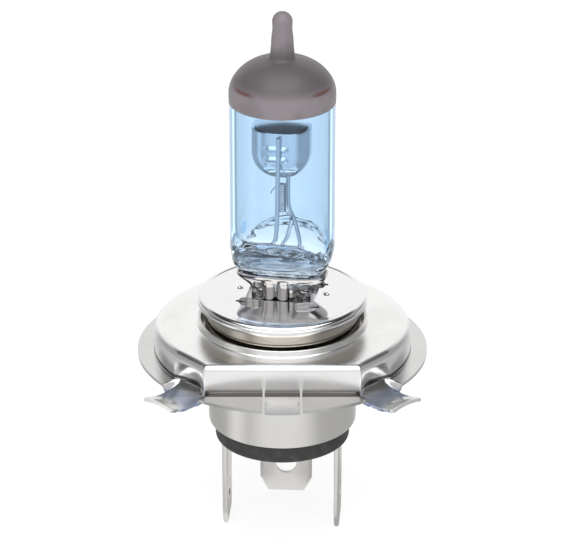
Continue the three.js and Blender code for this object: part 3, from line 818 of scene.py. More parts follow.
class BULB_OT_flange_ring(bpy.types.Operator):
    """Pressed ring with its collar, flat, recesses, flange, three lugs and two slits"""

    bl_idname = "bulb.flange_ring"
    bl_label = "Flange Ring"

    def execute(self, context):
        sizes, colours = context.scene.bulb_ring, context.scene.bulb_colours
        ring = mesh_object("ring", [sheet(ring_surface(sizes), -sizes.sheet / MM)])
        front = -sizes.flat / MM
        slits = []
        for x in (-SLIT_X, SLIT_X):
            corner = (x + SLIT_HALF, front + SLIT_DEPTH, SLIT_TOP)
            slits.append(block((x - SLIT_HALF, -23, -2), corner, 0.1))
        cut_away(ring, slits)
        steel = metal(
            "ring_steel", colours.ring, darker(colours.ring, 0.86),
            roughness=0.22, spread=0.10, stretch=(1.0, 1.0, 0.06), scale=2400.0, bump=0.16,
            worn=(0.93, 0.92, 0.90),
        )
        paint_ring_shade_and_reflection(steel, sizes.flat, sizes.flat_half)
        finish_piece(ring, ["flange_ring"], [steel], 50)
        return {"FINISHED"}


# ---------------------------------------------------------------- focus plate, cup and clamp


RIM_ROLL, RIM_GROOVE = 0.9, 0.13  # radius of the plate's rolled rim, depth of the groove along it
PLATE_SHEET = 0.45
PIP_PLACE, PIP_RADIUS, PIP_HEIGHT = (6.45, 0.7), 0.64, 0.3
WINDOW = (5.1, 3.1)  # half width and half depth of the opening for the pinch
SLOT_PLACE, SLOT_SIZE = (5.35, 4.0), (0.85, 0.3)  # middle and half size of a foot's slot


def plate_profile(rim, top):
    """Half section of the plate: the disc, a crease, the rolled rim and the underside.

    The rim is an arc whose radius has a Gaussian groove in it.
    """
    flat = rim - 1.6
    roll = np.radians(np.linspace(112, -16, 44))
    bead = RIM_ROLL - RIM_GROOVE * np.exp(-(((roll - np.radians(28)) / np.radians(6)) ** 2))[:, None]
    rolled = (rim - RIM_ROLL, top - 0.86) + bead * np.stack([np.cos(roll), np.sin(roll)], axis=-1)
    crease = rounded([(flat, top, 0.12), (flat + 0.25, top - 0.03, 0.1), (*rolled[0], 0)], 5)[:-1]
    under = (rim, top) - np.array([(0.15, 1.14), (0.4, 1.24), (0.55, 1.1), (0.45, 0.75), (0.9, PLATE_SHEET)])
    inner, pips, outer = (3.3, 5.5, 6), (5.6, 7.3, 35), (7.45, flat - 0.15, 9)
    radii = np.concatenate([[3.0], *(np.linspace(*stretch) for stretch in (inner, pips, outer))])
    disc_top = np.stack([radii, np.full_like(radii, top)], axis=-1)
    return np.concatenate([disc_top, crease, rolled, under, [(3.0, top - PLATE_SHEET)]])


class BULB_OT_focus_plate(bpy.types.Operator):
    """Polished plate with a rolled rim, a window for the pinch, four slots and two pips"""

    bl_idname = "bulb.focus_plate"
    bl_label = "Focus Plate"

    def execute(self, context):
        sizes, colours = context.scene.bulb_base, context.scene.bulb_colours
        top = sizes.plate_top / MM
        points, faces = revolve(plate_profile(sizes.plate_radius / MM, top), 420)
        for side in (-1, 1):
            away = np.hypot(points[:, 0] - side * PIP_PLACE[0], points[:, 1] - PIP_PLACE[1])
            pip = PIP_HEIGHT * (1 - smoothstep(0.0, PIP_RADIUS, away))
            points[:, 2] += np.where(points[:, 2] > top - 0.01, pip, 0)
        plate = mesh_object("focus_disc", turned_shells([(points, faces)], MOUNT_TURN))
        low, high, (half, depth) = 5, 11, WINDOW
        openings = [block((-half, -depth, low), (half, depth, high), 0.9)]
        half, depth = SLOT_SIZE
        for side, front in QUADRANTS:
            x, y = side * SLOT_PLACE[0], front * SLOT_PLACE[1]
            openings.append(block((x - half, y - depth, low), (x + half, y + depth, high), 0.2))
        cut_away(plate, turned_shells(openings, MOUNT_TURN))
        steel = metal(
            "plate_steel", colours.plate, darker(colours.plate, 0.93),
            roughness=0.08, spread=0.04, stretch=(1.0, 1.0, 1.0), scale=900.0, bump=0.05,
        )
        finish_piece(plate, ["focus_plate"], [steel], 50)
        return {"FINISHED"}


class BULB_OT_focus_cup(bpy.types.Operator):
    """Drawn cup under the focus plate"""

    bl_idname = "bulb.focus_cup"
    bl_label = "Focus Cup"

    def execute(self, context):
        sizes, colours = context.scene.bulb_base, context.scene.bulb_colours
        radius, top, bottom = sizes.cup_radius / MM, sizes.plate_top / MM - 0.75, 3.6
        profile = rounded(
            [
                (radius - 0.5, bottom, 0),
                (radius, bottom, 0.08),
                (radius, top - 0.95, 0.25),
                (radius + 0.1, top - 0.75, 0.1),
                (radius, top - 0.6, 0.1),
                (radius + 0.25, top - 0.4, 0.15),
                (radius + 0.25, top, 0.05),
                (radius - 0.5, top, 0),
            ],
            7,
        )
        steel = metal(
            "cup_steel", colours.cup, darker(colours.cup, 0.85),
            roughness=0.09, spread=0.05, stretch=(0.3, 0.3, 1.6), scale=1500.0, bump=0.10,
            tarnish=0.6,
        )
        finish_piece(mesh_object("cup", [revolve(profile)]), ["focus_cup"], [steel])
        return {"FINISHED"}


SLEEVE_BOTTOM, SLEEVE_HEIGHT = 5.6, 6.6
SLEEVE_HALF, MOUTH_GROWTH = (4.45, 2.15), (0.5, 0.95)  # half width and half depth
WING = 1.75  # how far the mouth's wings stand out at its sides
CLAMP_SHEET, FOLD_SHEET = 0.3, 0.25
FOOT_SECTION = (0.22, 0.8, 0.07)


def clamp_sleeve():
    """The sleeve round the pinch, a superellipse that opens into a flared mouth with two wings.

    Its half width and half depth grow with a cubic step of height. The mouth is widest at the sides,
    where the cosine of the angle to the fifth power draws it out into wings. A Gaussian bulges the
    front and the back.
    """
    angle = np.linspace(0, 2 * np.pi, 240, endpoint=False)[:, None]
    c, s = np.cos(angle), np.sin(angle)
    height = np.linspace(0, 1, 40)[None]
    mouth = smoothstep(0.62, 1.0, height)
    wing = np.abs(c) ** 5
    power = 2 / 5.0
    x = (SLEEVE_HALF[0] + mouth * (MOUTH_GROWTH[0] + WING * wing)) * signed_power(c, power)
    y = (SLEEVE_HALF[1] + mouth * MOUTH_GROWTH[1]) * signed_power(s, power)
    y = y * (1 + 0.12 * np.exp(-((x / 2.2) ** 2)) * (1 - mouth))
    z = SLEEVE_BOTTOM + (SLEEVE_HEIGHT - 0.1 * wing * mouth + 0.1 * (1 - wing) * mouth) * height
    return net(x, y, z)


def on_both_faces(surface):
    """A sheet over the surface on the clamp's front, and its copy on the back."""
    front = sheet(surface, FOLD_SHEET, around=False)
    return [front, *turned_shells([front], 180)]


def clamp_pads():
    """The folded stem on the sleeve's front and back: two half-round ribs beside a centre crease.

    Across the stem the bulge is the square root of the rectified sine of the place across it.
    """
    across = np.linspace(-1, 1, 81)[:, None]
    height = np.linspace(0, 1, 25)[None]
    x = -0.55 + 2.3 * across * (1 - 0.12 * np.sin(np.pi * height))
    ribs = 0.62 * np.sqrt(np.abs(np.sin(np.pi * across)))
    y = -2.32 - ribs - 0.3 * smoothstep(0.8, 1.0, height) - 0.25 * smoothstep(0.25, 0.0, height)
    return on_both_faces(net(x, y, 6.2 + 5.6 * height))


def clamp_gussets():
    """Triangular wings from the stem's sides out under the mouth, each a thin twisted sheet."""
    t = np.linspace(0, 1, 40)[:, None]
    w = np.linspace(0, 1, 24)[None]
    x = 1.85 + (1 - t) * 0.35 + w * (0.2 + 4.0 * t**1.5)
    y = -2.75 + w * (0.3 + 1.5 * t) + 0.35 * np.sin(np.pi * w) * t
    return on_both_faces(net(x, y, 7.4 + 4.5 * t))


def clamp_feet(top):
    """Four strips that come out of the plate's slots, arch over and run in to the stem."""
    route = [
        (5.5, 4.0, top - 0.6), (5.3, 4.02, top + 0.16), (4.4, 4.2, top + 0.34), (3.4, 4.6, top + 0.3),
        (2.7, 4.5, top + 0.22), (2.4, 3.6, top + 0.2), (2.3, 2.7, top - 0.1),
    ]
    path, section = spline(route, 60), bar_section(*FOOT_SECTION)
    return [sweep(path * (side, front, 1), section, (0, 0, 1)) for side, front in QUADRANTS]


class BULB_OT_pinch_clamp(bpy.types.Operator):
    """Spring-steel clamp that holds the glass pinch on the focus plate"""

    bl_idname = "bulb.pinch_clamp"
    bl_label = "Pinch Clamp"

    def execute(self, context):
        sizes, colours = context.scene.bulb_base, context.scene.bulb_colours
        top = sizes.plate_top / MM
        under = top - 0.5
        base = block((-5.8, -3.8, under - 0.2), (5.8, 3.8, under), 0.3)
        folds = [*clamp_pads(), *clamp_gussets(), *clamp_feet(top)]
        shells = [sheet(clamp_sleeve(), CLAMP_SHEET), *folds, base]
        clamp = mesh_object("clamp", turned_shells(shells, MOUNT_TURN))
        steel = metal(
            "clamp_steel", colours.clamp, (0.34, 0.36, 0.52),
            roughness=0.14, spread=0.06, stretch=(1.0, 1.0, 0.2), scale=1400.0, bump=0.12,
            tarnish=0.5,
        )
        finish_piece(clamp, ["pinch_clamp"], [steel])
        return {"FINISHED"}


# ---------------------------------------------------------------- glass and coating


DOME_FOOT, DOME_RISE = 40.5, 5.15  # where the dome springs from the tube, and its height
KNOB = 1.48  # radius of the tip's round end
PINCH_HALF, PINCH_BOTTOM = 4.3, 6.4
SHOULDER = ((7.45, 15.0), (7.0, 14.0), (6.2, 13.3), (5.0, 12.7), (PINCH_HALF, 12.1))
CAVITY_FLOOR = ((6.5, 16.2), (6.2, 15.2), (5.5, 14.4), (4.0, 13.8), (2.0, 13.5), (0.0, 13.4))
OUTER_PRESS = (16.0, 11.8, 0.42, 0.08)  # height where pressing starts and ends, flat share, folds
CAVITY_PRESS = (20.0, 13.2, 0.16, 0.30)
BORE_FLOOR = 13.3  # the cavity's faces above it are bare quartz
FILM_FADE = (13.4 * MM, 18.5 * MM)  # heights between which the blue film fades in
PAINT_DOME = (41.2 * MM, 48.0 * MM)  # heights between which the coating is darker


def dome_arc(u, radius, foot, rise):
    """A blunt quarter arc: r = radius cos(u)^0.86, z = foot + rise sin(u)^1.12."""
    return np.stack([radius * np.cos(u) ** 0.86, foot + rise * np.sin(u) ** 1.12], axis=-1)


def dome_profile(radius, inset, tip_top):
    """Half outline of the dome and its drawn-off tip, from the axis out and down.

    The tip is a round end on a slightly waisted stem whose foot blends into the dome.
    """
    u = np.linspace(0, np.radians(76), 40)[::-1]
    dome = dome_arc(u, radius, DOME_FOOT, DOME_RISE - inset)
    end = np.linspace(np.pi / 2, 0.0, 12)
    ball = KNOB - inset
    knob = np.stack([ball * np.cos(end), tip_top - ball + ball * np.sin(end)], axis=-1)
    stem = spline(
        [
            (ball, tip_top - ball),
            (1.44 - inset, tip_top - 2.6),
            (1.58 - inset, tip_top - 3.8),
            (1.66 - inset, tip_top - 5.2),
            (1.86 - 0.6 * inset, dome[0, 1] + 0.35),
            dome[0],
        ],
        26,
    )
    return np.concatenate([knob, stem[1:-1], dome])


def pinch_shape(points, high, low, flat, fold):
    """Presses the round tube into the flat pinch below its shoulder.

    From a high to a low height the circle becomes a superellipse: by a cubic step its depth falls
    to the flat share of its width and its power rises from 2 to 6. The pressed faces carry folds, the
    sum of two rectified sines of the angle and the height.
    """
    x, y, z = np.moveaxis(points, -1, 0)
    pressed = smoothstep(0, 1, (high - z) / (high - low))
    depth = 1 - (1 - flat) * pressed
    power = 2 / (2 + 4 * pressed**1.5)
    radius = np.maximum(np.hypot(x, y), 1e-9)
    angle = np.arctan2(y, x)
    folds = np.abs(np.sin(4 * angle + 1.1 * z)) + 0.6 * np.abs(np.sin(7 * angle - 2.3 * z + 0.7)) - 0.9
    crease = fold * folds * smoothstep(0, 0.25, pressed) * smoothstep(0.6, 2.4, radius)
    across = radius * signed_power(x / radius, power)
    along = (radius - crease) * signed_power(y / radius, power) * depth
    return net(across, along, z)


def glass_wall(profile, press, inward=False):
    """A profile of the glass carried round the axis and pressed at the pinch."""
    return outward(grid(pinch_shape(carried_round(profile, 256), *press)), inward)


def outer_profile(radius, edge, tip_top):
    """Half outline of the glass: the dome under the coating's skin, tube, shoulder and pinch."""
    skin = 0.12
    dome = dome_profile(radius - 0.02, skin, tip_top - skin)
    tube = np.linspace([radius, edge - 0.2], [radius, 17.6], 40)
    shoulder = spline([(radius, 17.4), (radius, 16.4), *SHOULDER], 60)
    pinch = [(PINCH_HALF, 12.0, 0.1), (PINCH_HALF, PINCH_BOTTOM, 0.3), (0, PINCH_BOTTOM, 0)]
    return np.concatenate([dome, tube, shoulder, rounded(pinch, 6)[3:]])


def cavity_profile(bore):
    """Half outline of the gas space: its own dome, the bore and the floor above the pinch."""
    crown = dome_arc(np.linspace(np.pi / 2, 0, 30), bore, 40.3, 3.9)
    crown[0, 0] = 0.0
    wall = np.linspace([bore, 39.5], [bore, 17.8], 40)
    return np.concatenate([crown, wall, spline([(bore, 17.4), *CAVITY_FLOOR], 60)])


def give_bore_second_material(mesh, bore, floor):
    """Puts the faces of the cavity's wall, which look in towards the axis, in the second slot."""
    middle, normal = np.empty(len(mesh.polygons) * 3), np.empty(len(mesh.polygons) * 3)
    mesh.polygons.foreach_get("center", middle)
    mesh.polygons.foreach_get("normal", normal)
    middle, normal = middle.reshape(-1, 3), normal.reshape(-1, 3)
    within = (np.hypot(middle[:, 0], middle[:, 1]) < bore * MM + 1e-5) & (middle[:, 2] > floor * MM)
    facing_in = (middle[:, :2] * normal[:, :2]).sum(axis=1) < 1e-9
    mesh.polygons.foreach_set("material_index", (within & facing_in).astype(np.int32))


class BULB_OT_glass(bpy.types.Operator):
    """Quartz tube with its domed end, drawn tip and pressed pinch"""

    bl_idname = "bulb.glass"
    bl_label = "Glass"

    def execute(self, context):
        sizes, colours = context.scene.bulb_glass, context.scene.bulb_colours
        radius, bore = sizes.radius / MM, (sizes.radius - sizes.wall) / MM
        outside = outer_profile(radius, sizes.coating_edge / MM, sizes.tip_top / MM)
        shells = [
            glass_wall(outside, OUTER_PRESS),
            glass_wall(cavity_profile(bore), CAVITY_PRESS, inward=True),
        ]
        glass = mesh_object("bulb_glass", turned_shells(shells, MOUNT_TURN))
        film = film_glass("blue_film", colours.film, (0.90, 0.93, 0.96), *FILM_FADE)
        bare = plain_quartz("bare_quartz", (0.99, 0.99, 0.99))
        finish_piece(glass, ["glass_envelope"], [film, bare], 60)
        give_bore_second_material(glass.data, bore, BORE_FLOOR)
        return {"FINISHED"}


class BULB_OT_coating(bpy.types.Operator):
    """Opaque anti-glare coating over the dome and tip"""

    bl_idname = "bulb.coating"
    bl_label = "Coating"

    def execute(self, context):
        sizes, colours = context.scene.bulb_glass, context.scene.bulb_colours
        radius, edge, top = sizes.coating_radius / MM, sizes.coating_edge / MM, sizes.tip_top / MM
        outer = dome_profile(radius, 0, top)
        skin = radius - sizes.radius / MM
        inner = dome_profile(radius - skin, 0.1, top - 0.1)[::-1]
        lip = rounded([(radius, edge, 0.08), (radius - skin, edge, 0.03), (radius - skin, edge + 2, 0)], 5)
        profile = np.concatenate([outer, [(radius, edge + 0.6)], lip[:-1], inner])
        shell = outward(grid(carried_round(profile, 224)))
        coating = mesh_object("dome_coating", turned_shells([shell], MOUNT_TURN))
        paint = coating_material(
            "tip_coating", colours.coating, darker(colours.coating, 0.38), (0.12, 0.04, 0.03),
            *PAINT_DOME,
        )
        finish_piece(coating, ["anti_glare_cap"], [paint], 60)
        return {"FINISHED"}


# ---------------------------------------------------------------- shield, filaments and wires


SHIELD_RADIUS, SHIELD_DEPTH, SHIELD_BOWL = 4.3, 4.8, 4.6  # half width, depth and height of the bowl
SHIELD_BACK, SHIELD_WAIST, SHIELD_TOP = 0.3, 32.1, 35.9  # y of the open back, heights
SHIELD_PIPS = (33.4, 31.8)  # heights
PIP_BULGE = 0.42
SHIELD_SHEET = 0.25


def shield_surface():
    """The dipped-beam shield's outer face: half of a superellipse bowl with a flat roof.

    The section is a superellipse of power 3. Two flat pips cross the front as Gaussians of height.
    """
    angle = np.linspace(-np.pi / 2, np.pi / 2, 121)[:, None]
    bowl = np.radians(np.linspace(-88, 0, 40))
    bottom = np.stack([SHIELD_RADIUS * np.cos(bowl), SHIELD_WAIST + SHIELD_BOWL * np.sin(bowl)], axis=-1)
    wall = np.linspace([SHIELD_RADIUS, 32.3], [SHIELD_RADIUS, SHIELD_TOP - 0.55], 44)
    roof = [(SHIELD_RADIUS, 34, 0), (SHIELD_RADIUS, SHIELD_TOP, 0.5), (0.05, SHIELD_TOP, 0)]
    lid = np.linspace([3.7, SHIELD_TOP], [0.06, SHIELD_TOP], 10)
    profile = np.concatenate([bottom, wall, rounded(roof, 12)[1:-1], lid])
    radius, height = profile.T[:, None]
    power = 2 / 3.0
    c = np.cos(angle)
    x = radius * signed_power(np.sin(angle), power)
    y = SHIELD_BACK - radius * (SHIELD_DEPTH / SHIELD_RADIUS) * np.abs(c) ** power
    pip = sum(np.exp(-(((height - level) / 0.36) ** 2)) for level in SHIELD_PIPS)
    pip = pip * (1 - smoothstep(1.0, 1.9, np.abs(x))) * (c > 0.2)
    return net(x, y - PIP_BULGE * pip, height)


class BULB_OT_shield(bpy.types.Operator):
    """Molybdenum shield under the dipped-beam filament"""

    bl_idname = "bulb.shield"
    bl_label = "Dipped-Beam Shield"

    def execute(self, context):
        colours = context.scene.bulb_colours
        shell = turned_shells([sheet(shield_surface(), SHIELD_SHEET, around=False)], MOUNT_TURN)
        molybdenum = metal(
            "molybdenum", colours.shield, darker(colours.shield, 0.7),
            roughness=0.12, spread=0.05, stretch=(1.0, 1.0, 0.3), scale=1500.0, bump=0.15,
        )
        finish_piece(mesh_object("shield", shell), ["dipped_beam_shield"], [molybdenum])
        for side in BLADES:
            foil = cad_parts[f"foil_{side}"].data
            foil.materials.clear()
            foil.materials.append(molybdenum)
        return {"FINISHED"}


COIL_RADIUS, COIL_TURNS, COIL_WIRE = 0.5, 17, 0.085
COILS = {  # axis x and y, lower and upper end, then the routes of the first and the last leg
    "high_beam": (
        (0.0, 0.0, 21.8, 26.3),
        [(1.25, 0.1, 20.4), (1.1, 0.05, 21.2), (0.5, 0, 21.8)],
        [(0.5, 0, 26.3), (-0.3, -0.9, 26.5), (-1.1, -1.5, 25.9), (-1.4, -1.7, 25.3)],
    ),
    "low_beam": (
        (0.0, -1.1, 28.5, 34.0),
        [(0.67, 0.95, 28.1), (0.9, -0.2, 28.2), (0.5, -1.1, 28.5)],
        [(0.5, -1.1, 34.0), (0.2, -2.2, 34.2), (0.1, -3.9, 34.3)],
    ),
}
SUPPORT_WIRE, LEAD_WIRE = 0.31, 0.4  # radii
SUPPORT_ROUTES = {
    "shield_support_wire": [
        (-2.75, 0, 12.6), (-2.75, 0, 14.6), (-1.9, -2.2, 16.4), (-0.5, -4.5, 18.4),
        (0.1, -5.05, 21), (0.3, -5.15, 29), (0.4, -5.15, 35.4),
    ],
    "high_beam_support_wire": [
        (0, 0, 12.6), (0, 0, 15.5), (0.6, 0.7, 17.6), (1.25, 0.6, 20.2), (1.25, 0.3, 20.7),
    ],
    "low_beam_support_wire": [
        (2.75, 0, 12.6), (2.7, 0, 14.8), (2.4, 0.8, 17), (1.6, 1.3, 20),
        (0.7, 1.2, 22.6), (0.67, 1.14, 28.4),
    ],
}
FOIL_PITCH = 2.75  # between the three foils in the pinch


def coil_path(x, y, low, high):
    """A helix about an upright line, with even pitch."""
    angle = np.linspace(0, 2 * np.pi * COIL_TURNS, COIL_TURNS * 20)
    height = low + (high - low) * angle / angle[-1]
    return net(x + COIL_RADIUS * np.cos(angle), y + COIL_RADIUS * np.sin(angle), height)


def lead_route(quarter):
    """A lead wire's route from its foil at the pinch's foot down to its blade's tab."""
    start = turned((-quarter / 90 * FOIL_PITCH, 0, 7.3), MOUNT_TURN)
    tab = turned((0, 7.3, -6), quarter + CONNECTOR_TURN)
    flat = np.array([1, 1, 0])
    middle = (0.6 * start + 0.4 * tab) * flat
    return [start, start * flat + (0, 0, 4.5), middle, tab * flat - (0, 0, 4.2), tab * flat - (0, 0, 8.6)]


class BULB_OT_filaments(bpy.types.Operator):
    """Main-beam and dipped-beam coils with their legs"""

    bl_idname = "bulb.filaments"
    bl_label = "Filaments"

    def execute(self, context):
        colours = context.scene.bulb_colours
        tungsten = metal(
            "tungsten", colours.filament, darker(colours.filament, 0.7),
            roughness=0.35, spread=0.1, stretch=(1.0, 1.0, 1.0), scale=4000.0, bump=0.2,
        )
        section = disc(COIL_WIRE, 10)
        for name, (place, *legs) in COILS.items():
            shells = [sweep(coil_path(*place), section, (0, 0, 1))]
            shells += [sweep(spline(leg, 24), section, (0, 1, 0)) for leg in legs]
            piece = mesh_object(f"{name}_coil", turned_shells(shells, MOUNT_TURN))
            finish_piece(piece, [f"{name}_filament"], [tungsten])
        return {"FINISHED"}


class BULB_OT_wires(bpy.types.Operator):
    """Support wires in the glass and lead wires in the base"""

    bl_idname = "bulb.wires"
    bl_label = "Wires"

    def execute(self, context):
        colours = context.scene.bulb_colours
        drawn = metal(
            "drawn_wire", darker(colours.shield, 0.9), darker(colours.shield, 0.65),
            roughness=0.25, spread=0.1, stretch=(1.0, 1.0, 0.1), scale=2600.0, bump=0.15,
        )
        for name, route in SUPPORT_ROUTES.items():
            shell = sweep(spline(route, 120), disc(SUPPORT_WIRE, 20), (0.2, 1, 0))
            piece = mesh_object(name.replace("support_wire", "post"), turned_shells([shell], MOUNT_TURN))
            finish_piece(piece, [name], [drawn])
        lead = metal(
            "lead_wire", colours.blade, darker(colours.blade, 0.7),
            roughness=0.3, spread=0.1, stretch=(1.0, 1.0, 0.1), scale=2600.0, bump=0.15,
        )
        for name, quarter in BLADES.items():
            path, level = spline(lead_route(quarter), 90), turned((0, 1, 0.2), quarter + 45)
            piece = mesh_object(f"lead_{name}", [sweep(path, disc(LEAD_WIRE, 16), level)])
            finish_piece(piece, [f"lead_wire_{name}"], [lead])
        return {"FINISHED"}


# ---------------------------------------------------------------- base tube, insulator and blades


TUBE_FLANGE, TUBE_FLANGE_LOW, TUBE_FLANGE_HIGH = 14.2, 2.7, 3.2  # radius and heights
INSULATOR_TOP = -9.3
BLADE_SLOT = ((-4.15, 7.9, -20), (4.15, 8.9, 0))
BLADE_OFFSET, BLADE_HALF_SHEET, BLADE_TOP = 8.4, 0.4, -5.5
DETENT_RADIUS, DETENT_HEIGHT = 1.6, -24.1


class BULB_OT_base_tube(bpy.types.Operator):
    """Satin base tube, flanged at its top and curled in at its lower edge"""

    bl_idname = "bulb.base_tube"
    bl_label = "Base Tube"

    def execute(self, context):
        sizes, colours = context.scene.bulb_base, context.scene.bulb_colours
        radius, bottom = sizes.tube_radius / MM, sizes.tube_bottom / MM
        profile = rounded(
            [
                (radius - 0.5, bottom + 0.05, 0.1),
                (radius - 0.08, bottom, 0.18),
                (radius, bottom + 0.5, 0.2),
                (radius, TUBE_FLANGE_LOW, 0.8),
                (TUBE_FLANGE, TUBE_FLANGE_LOW, 0),
                (TUBE_FLANGE, TUBE_FLANGE_HIGH, 0),
                (radius - 0.5, TUBE_FLANGE_HIGH, 1.3),
            ],
            9,
        )
        steel = metal(
            "tube_steel", colours.tube, darker(colours.tube, 0.88),
            roughness=0.31, spread=0.12, stretch=(1.0, 1.0, 0.1), scale=1800.0, bump=0.18,
            worn=(0.88, 0.87, 0.84),
        )
        tube = mesh_object("base_tube", [revolve(profile)])
        finish_piece(tube, ["base_shell"], [steel])
        return {"FINISHED"}


def blade_cutters():
    """Boxes for the blades' slots in the insulator."""
    slot = block(*BLADE_SLOT, 0.1)
    shells = [turned_shells([slot], quarter + CONNECTOR_TURN) for quarter in BLADES.values()]
    return sum(shells, [])


class BULB_OT_insulator(bpy.types.Operator):
    """Charcoal moulding that closes the base and holds the blades"""

    bl_idname = "bulb.insulator"
    bl_label = "Insulator"

    def execute(self, context):
        sizes, colours = context.scene.bulb_base, context.scene.bulb_colours
        radius, bottom = sizes.insulator_radius / MM, sizes.insulator_bottom / MM
        profile = rounded(
            [
                (0.0, bottom + 0.5, 0),
                (4.2, bottom + 0.5, 0.2),
                (4.8, bottom, 0.3),
                (radius, bottom, 0.6),
                (radius, INSULATOR_TOP, 0.2),
                (0.0, INSULATOR_TOP, 0),
            ],
            8,
        )
        insulator = mesh_object("insulator", turned_shells([revolve(profile)], CONNECTOR_TURN))
        cut_away(insulator, blade_cutters())
        plastic = moulded_material("insulator_plastic", colours.insulator, (0.07, 0.07, 0.07))
        finish_piece(insulator, ["base_insulator"], [plastic])
        return {"FINISHED"}


def blade_shell(width, end):
    """A blade as a net from its detent hole out over both faces.

    Each ray from the hole's middle meets the outline at the least of distance / cosine over its
    sides. The faces are flat and their last part is coined down towards the edge.
    """
    half, top = width / 2, BLADE_TOP
    right = [(half - 1.25, end), (half, end + 2.3), (half, top - 0.8), (half - 0.8, top)]
    left = [(-x, z) for x, z in right[::-1]]
    outline = np.array([*left[-1:], *right, *left[:-1]]) - (0, DETENT_HEIGHT)
    step = np.roll(outline, -1, axis=0) - outline
    facing = unit(np.stack([step[:, 1], -step[:, 0]], axis=-1))
    reach = (facing * outline).sum(axis=1)
    corners = np.arctan2(outline[:, 1], outline[:, 0])
    even = np.linspace(-np.pi, np.pi, 180, endpoint=False)
    angle = np.unique(np.round(np.concatenate([even, corners, corners + 0.01, corners - 0.01]), 5))
    ray = np.stack([np.cos(angle), np.sin(angle)], axis=-1)
    edge = (reach[None] / np.maximum(ray @ facing.T, 1e-6)).min(axis=1)[:, None]
    near = DETENT_RADIUS + np.array([[0.0, 0.03, 0.12]]) + 0 * edge
    far = edge - np.array([[0.5, 0.28, 0.12, 0.03, 0.0]])
    between = near[:, -1:] + (far[:, :1] - near[:, -1:]) * np.linspace(0, 1, 8)[None, 1:-1]
    radius = np.concatenate([near, between, far], axis=1)
    sunk = np.concatenate([[0.12, 0.03], np.zeros(8), [0.03, 0.1, 0.18, 0.28]])
    lift = BLADE_HALF_SHEET - sunk
    x, z = radius * ray[:, :1], DETENT_HEIGHT + radius * ray[:, 1:]
    faces = [net(x, lift, z), net(x, -lift, z)[:, ::-1]]
    return outward(grid(np.concatenate(faces, axis=1), along=True))


class BULB_OT_blades(bpy.types.Operator):
    """Three tinned connector blades with detent holes"""

    bl_idname = "bulb.blades"
    bl_label = "Connector Blades"

    def execute(self, context):
        sizes, colours = context.scene.bulb_base, context.scene.bulb_colours
        tinned = metal(
            "tinned_blade", colours.blade, darker(colours.blade, 0.82),
            roughness=0.34, spread=0.14, stretch=(1.0, 1.0, 0.12), scale=1600.0, bump=0.22,
            worn=(0.80, 0.77, 0.70),
        )
        points, faces = blade_shell(sizes.blade_width / MM, sizes.blade_end / MM)
        shell = (points + (0, BLADE_OFFSET, 0), faces)
        for name, quarter in BLADES.items():
            piece = mesh_object(f"blade_{name}", turned_shells([shell], quarter + CONNECTOR_TURN))
            finish_piece(piece, [f"terminal_{name}"], [tinned])
        return {"FINISHED"}


# ---------------------------------------------------------------- stage


CAMERA_ASIDE = 0.09 * MM
FLOOR_HALF = 1500
STUDIO_SIDES = (0.85, 0.36, 1.06)  # brightness of the walls in front, at the sides and behind
FLOOR_SIDES = (0.95, 0.5, 0.95)  # the same of the floor as metal mirrors it
PLAIN_WALL = 0.98  # brightness of the studio where it is seen plainly


def bearing(tree, x, y):
    """Cosine and sine of the angle from the front (-Y) of a direction or a place in plan."""
    squares = math(tree, "MULTIPLY_ADD", x, x, math(tree, "MULTIPLY", y, y))
    across = math(tree, "MAXIMUM", math(tree, "SQRT", squares), 1e-6)
    return math(tree, "DIVIDE", math(tree, "MULTIPLY", y, -1.0), across), math(tree, "DIVIDE", x, across)


def walls_by_side(tree, x, y, front, side, back):
    """Brightness round the studio: a lit front and back, a reflector at the left, dull sides."""
    cosine, sine = bearing(tree, x, y)
    forward = ramp(tree, cosine, 0.55, 0.97, side, front)
    behind = ramp(tree, cosine, -0.92, -0.66, back - side, 0.0)
    off = math(tree, "ABSOLUTE", math(tree, "SUBTRACT", cosine, 0.36))
    left = product(tree, ramp(tree, off, 0.05, 0.34, 0.5, 0.0), ramp(tree, sine, -0.7, -0.4, 1.0, 0.0))
    return math(tree, "ADD", math(tree, "ADD", forward, behind), left)


def seen_plainly(tree):
    """A mask of what is seen directly or through clear glass, not mirrored in metal, and the glossy flag."""
    seen = tree.nodes.new("ShaderNodeLightPath").outputs
    unmirrored = math(tree, "LESS_THAN", seen["Glossy Depth"], 0.5)
    through = product(tree, seen["Is Transmission Ray"], unmirrored)
    return math(tree, "MAXIMUM", seen["Is Camera Ray"], through), seen["Is Glossy Ray"]


def studio_world(strength):
    """A studio by direction: lit front and backdrop, dull sides, and a softbox overhead and in front."""
    world = bpy.data.worlds.new("studio")
    world.use_nodes = True
    tree = world.node_tree
    direction = tree.nodes.new("ShaderNodeTexCoord").outputs["Generated"]
    x, y, z = node(tree, "ShaderNodeSeparateXYZ", {0: direction}).outputs
    walls = walls_by_side(tree, x, y, *STUDIO_SIDES)
    walls = product(tree, walls, ramp(tree, z, 0.55, 0.66, 1.0, 0.12))
    high = ramp(tree, z, 0.55, 0.62, 0.0, 2.1)
    ahead = ramp(tree, y, 0.16, 0.26, 1.0, 0.0)
    beside = ramp(tree, math(tree, "ABSOLUTE", x), 0.48, 0.58, 1.0, 0.0)
    lit = product(tree, math(tree, "ADD", walls, product(tree, high, ahead, beside)), strength)
    plain, _ = seen_plainly(tree)
    total = node(tree, "ShaderNodeMix", {0: plain, 2: lit, 3: PLAIN_WALL}).outputs[0]
    background = tree.nodes["Background"]
    tree.links.new(total, background.inputs["Strength"])
    background.inputs["Color"].default_value = (1.0, 0.998, 0.995, 1.0)
    return world


